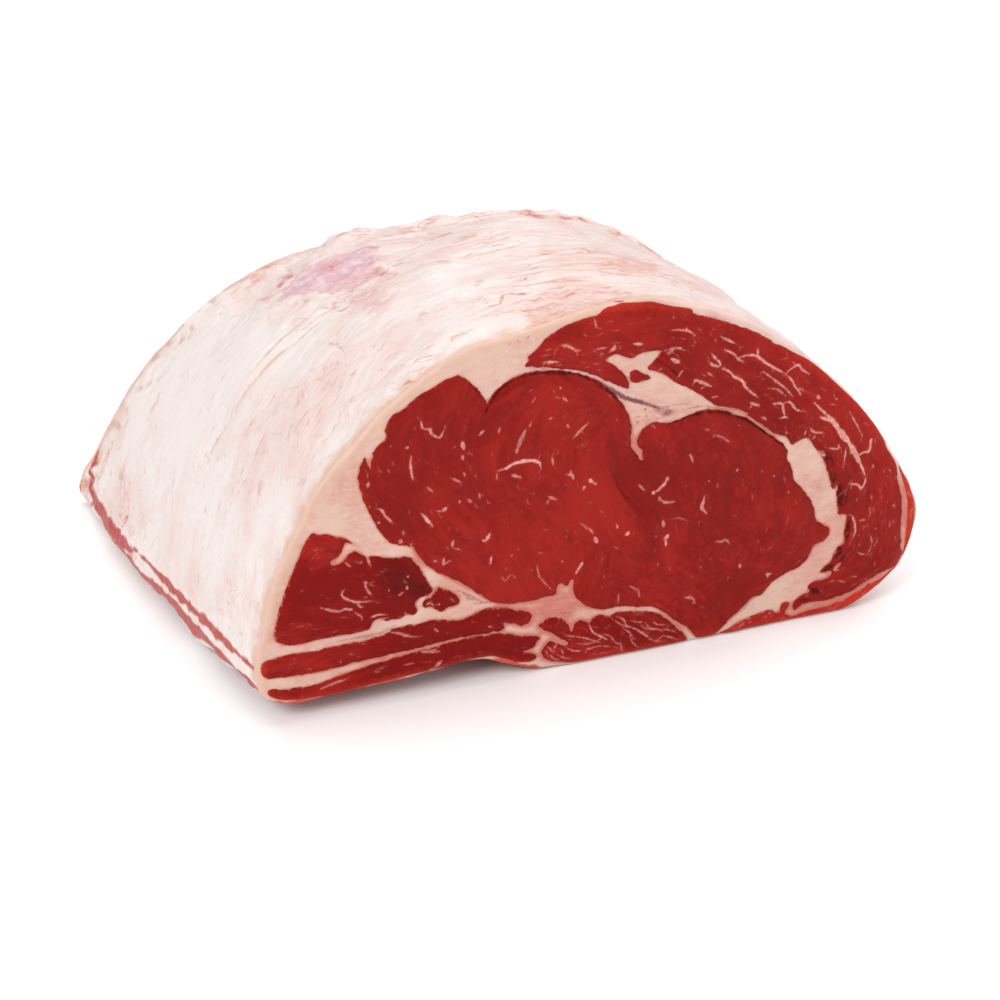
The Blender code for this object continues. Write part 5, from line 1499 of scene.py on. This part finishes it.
def make_materials():
    """The groups and materials, made once, before the first piece that needs them."""
    if "cut muscle" in bpy.data.node_groups:
        return
    muscle_group()
    marbling_group()
    tissue_group()
    film_group()
    c = colours()
    lean_material("eye_lean", c.lean_bright, c.lean_deep, 0.25, 0.6)
    lean_material("cap_lean", c.lean_bright, c.lean_deep, 0.25, 0.2)
    lean_material("lip_lean", c.lean_bright, c.lip_deep, 0.45, 0.2)
    lean_material("back_lean", c.lean_rim, c.lean_bright, 0.5, 0.2, c.lean_deep)
    cut_fat_material()
    skin_material()
    rib_side_material()


# ---------------------------------------- settings and add-on

def colour_setting(name, description, shown):
    return FloatVectorProperty(name=name, description=description, subtype="COLOR", size=4, min=0, max=1,
                               default=linear(shown))


CAMERA_PLACE = (-0.300, -0.76745, 0.420)
CAMERA_TURN = (math.radians(64.18), 0.0, math.radians(-22.007))
CAMERA_LENS, CAMERA_SENSOR = 82.58, 36.0
FLOOR_SIZE, WORLD_STRENGTH = 6.0, 0.45
LIGHTS = [   # name, place, aim, size, power
    ("key_light", (-1.2, -0.9, 1.2), (0.0, 0.0, 0.05), 0.8, 20.0),
    ("fill_light", (1.0, -1.5, 0.9), (0.05, 0.0, 0.06), 1.2, 7.0),
    ("top_light", (0.1, 0.7, 1.9), (0.0, 0.4, 0.0), 2.6, 25.0),
    ("side_light", (1.4, 0.1, 1.0), (0.05, 0.0, 0.08), 1.0, 9.0),
]


class RibRoastColours(bpy.types.PropertyGroup):
    """Colours of the lean and the fat."""
    # The bright and deep reds are mixed by the lean's tone, which also holds the painted light and shade beside the
    # eye's fold
    lean_bright: colour_setting("Bright lean", "Red of the eye and the cap where they face the light", (155, 32, 26))
    lean_deep: colour_setting("Deep lean", "Red in the hollows of the eye and the cap", (126, 21, 16))
    # Dark lean also colours the painted shade in the clefts
    dark_lean_and_shade: colour_setting("Dark lean", "Darkest lean, beside the seams", (76, 12, 10))
    lean_edge: colour_setting("Lean edge", "Where lean thins out over fat", (178, 66, 50))
    lean_rim: colour_setting("Rim lean", "Orange-red lean next to the skin", (182, 48, 32))
    lip_deep: colour_setting("Lip lean", "Darker red of the lip's muscles", (121, 14, 11))
    lip_lean: colour_setting("Lip edge lean", "Red strips along the lip's outer edge", (170, 58, 50))
    marbling: colour_setting("Marbling", "Flecks of fat in the lean", (218, 158, 146))
    marbling_veil: colour_setting("Marbling veil", "Lean tinted by the fleck beside it", (158, 50, 42))
    cut_fat: colour_setting("Cut fat", "Thick fat on the cut faces", (212, 176, 160))
    seam_fat: colour_setting("Seam fat", "Thin fat between the muscles", (192, 112, 96))
    rim_fat: colour_setting("Rim fat", "Fat at the rim of the cut faces", (206, 170, 152))
    outer_fat: colour_setting("Outer fat", "The fat cap", (221, 210, 206))
    pink_fat: colour_setting("Pink fat", "Pinker parts of the fat cap", (212, 182, 174))
    blush: colour_setting("Blush", "Red film left on the fat cap", (192, 94, 70))
    # Painted shade in the hollows and folds of the fat cap
    crease_shade: colour_setting("Crease", "Hollows and folds of the fat cap", (198, 150, 134))
    under_lean: colour_setting("Under lean", "Raw edge under the lip", (202, 64, 42))
    # Also colours the painted shade in the clefts of the cut fat
    blood_and_shade: colour_setting("Blood", "Specks and threads in the fat", (130, 34, 30))
    silverskin: colour_setting("Silverskin", "Purple-grey band between cap and eye", (112, 48, 54))
    pearl: colour_setting("Pearl", "Pale sinew beside the silverskin", (204, 170, 166))
    silverskin_patch: colour_setting("Silverskin patch", "Trimmed patch on the fat cap", (196, 148, 160))
    patch_light: colour_setting("Patch light", "Paler parts of the trimmed patch", (216, 188, 194))
    side_film: colour_setting("Side film", "Red film low on the back of the loin", (176, 72, 60))


class RibRoastSizes(bpy.types.PropertyGroup):
    """Sizes of the nets that the pieces are made on."""
    fat_net: FloatProperty(name="Cut fat net", description="Cell of the cut fat's mesh",
                           default=0.6 * MM, min=0.4 * MM, max=2 * MM, unit="LENGTH")
    skin_net: FloatProperty(name="Skin net", description="Cell of the skin's mesh",
                            default=0.92 * MM, min=0.8 * MM, max=3 * MM, unit="LENGTH")
    far_coarser: FloatProperty(name="Far cut coarser", description="How much coarser the far cut's muscles are",
                               default=1.7, min=1.0, max=4.0)


class RIBROAST_OT_cut_fat(bpy.types.Operator):
    """Adds the cut fat of both cut faces, with the rounded rims"""
    bl_idname = "ribroast.cut_fat"
    bl_label = "Cut Fat"

    def execute(self, context):
        make_materials()
        step = context.scene.rib_roast_sizes.fat_net / MM
        for name, near in (("near_cut_fat", True), ("far_cut_fat", False)):
            piece = fat_piece(name, Cut(near), step if near else step * FAR_FAT_COARSER)
            finish(piece, "cut_fat")
        return {"FINISHED"}


class RIBROAST_OT_muscles(bpy.types.Operator):
    """Adds the cut muscles of both cut faces"""
    bl_idname = "ribroast.muscles"
    bl_label = "Muscles"

    def execute(self, context):
        make_materials()
        for near in (True, False):
            cut = Cut(near)
            for name in MUSCLES:
                piece = muscle_piece(name, cut, 1.0 if near else context.scene.rib_roast_sizes.far_coarser)
                finish(piece, LEAN_OF[name])
        return {"FINISHED"}


class RIBROAST_OT_fat_cap(bpy.types.Operator):
    """Adds the fat cap, from the lip's edge over the crown to the back of the loin"""
    bl_idname = "ribroast.fat_cap"
    bl_label = "Fat Cap"

    def execute(self, context):
        make_materials()
        gap = context.scene.rib_roast_sizes.skin_net / MM
        piece = skin_piece("fat_cap", *FAT_CAP_PLACES, gap, FAT_CAP_TUCK, True)
        finish(piece, "fat_cap_skin")
        return {"FINISHED"}


class RIBROAST_OT_rib_side(bpy.types.Operator):
    """Adds the rib side that the roast lies on"""
    bl_idname = "ribroast.rib_side"
    bl_label = "Rib Side"

    def execute(self, context):
        make_materials()
        piece = skin_piece("rib_side", *RIB_SIDE_PLACES, RIB_SIDE_GAP, RIB_SIDE_TUCK, False)
        finish(piece, "rib_side_lean")
        return {"FINISHED"}


class RIBROAST_OT_stage(bpy.types.Operator):
    """Adds the pale floor, the soft lights and the camera"""
    bl_idname = "ribroast.stage"
    bl_label = "Stage"

    def execute(self, context):
        deselect()
        scene = context.scene
        bpy.ops.mesh.primitive_plane_add(size=FLOOR_SIZE, location=(0, 0, 0))
        floor = added("stage_floor")
        r, where = new_material("pale_floor")
        tone = r.mix(r.span(r.noise(where, 3.0), 0.3, 0.7), (0.93, 0.93, 0.94, 1), (0.96, 0.96, 0.96, 1))
        shader = r.add("BsdfPrincipled", Base_Color=tone, Roughness=0.6)
        r.add("OutputMaterial", Surface=shader.outputs["BSDF"])
        floor.data.materials.append(bpy.data.materials["pale_floor"])

        world = bpy.data.worlds.new("studio")
        scene.world = world
        world.use_nodes = True
        background = world.node_tree.nodes["Background"].inputs
        background["Color"].default_value = (1.0, 1.0, 1.0, 1.0)
        background["Strength"].default_value = WORLD_STRENGTH
        for name, place, aim, size, power in LIGHTS:
            bpy.ops.object.light_add(type="AREA", location=place)
            light = added(name)
            light.data.shape, light.data.size, light.data.energy = "DISK", size, power
            way = np.array(aim) - np.array(place)
            flat = math.hypot(way[0], way[1])
            light.rotation_euler = (math.atan2(flat, -way[2]), 0.0, math.atan2(-way[0], way[1]))

        bpy.ops.object.camera_add(location=CAMERA_PLACE, rotation=CAMERA_TURN)
        camera = context.object
        camera.name = "camera"
        camera.data.lens, camera.data.sensor_width = CAMERA_LENS, CAMERA_SENSOR
        scene.camera = camera
        scene.view_settings.view_transform = "Standard"
        return {"FINISHED"}


class RIBROAST_PT_panel(bpy.types.Panel):
    """Lists the roast's pieces, sizes and colours"""
    bl_idname = "RIBROAST_PT_panel"
    bl_label = "Rib Roast"
    bl_space_type = "VIEW_3D"
    bl_region_type = "UI"
    bl_category = "Rib Roast"

    def draw(self, context):
        for operator in OPERATORS:
            self.layout.operator(operator.bl_idname)
        for settings in (context.scene.rib_roast_sizes, context.scene.rib_roast_colours):
            for name in settings.__annotations__:
                self.layout.prop(settings, name)


SETTINGS = (RibRoastSizes, RibRoastColours)
OPERATORS = (RIBROAST_OT_stage, RIBROAST_OT_cut_fat, RIBROAST_OT_muscles, RIBROAST_OT_fat_cap, RIBROAST_OT_rib_side)


def register():
    for kind in (*SETTINGS, *OPERATORS, RIBROAST_PT_panel):
        bpy.utils.register_class(kind)
    bpy.types.Scene.rib_roast_sizes = PointerProperty(type=RibRoastSizes)
    bpy.types.Scene.rib_roast_colours = PointerProperty(type=RibRoastColours)


def unregister():
    del bpy.types.Scene.rib_roast_sizes
    del bpy.types.Scene.rib_roast_colours
    for kind in reversed((*SETTINGS, *OPERATORS, RIBROAST_PT_panel)):
        bpy.utils.unregister_class(kind)


def main():
    register()
    for operator in OPERATORS:
        group_name, step_name = operator.bl_idname.split(".")
        getattr(getattr(bpy.ops, group_name), step_name)()


if __name__ == "__main__":
    main()
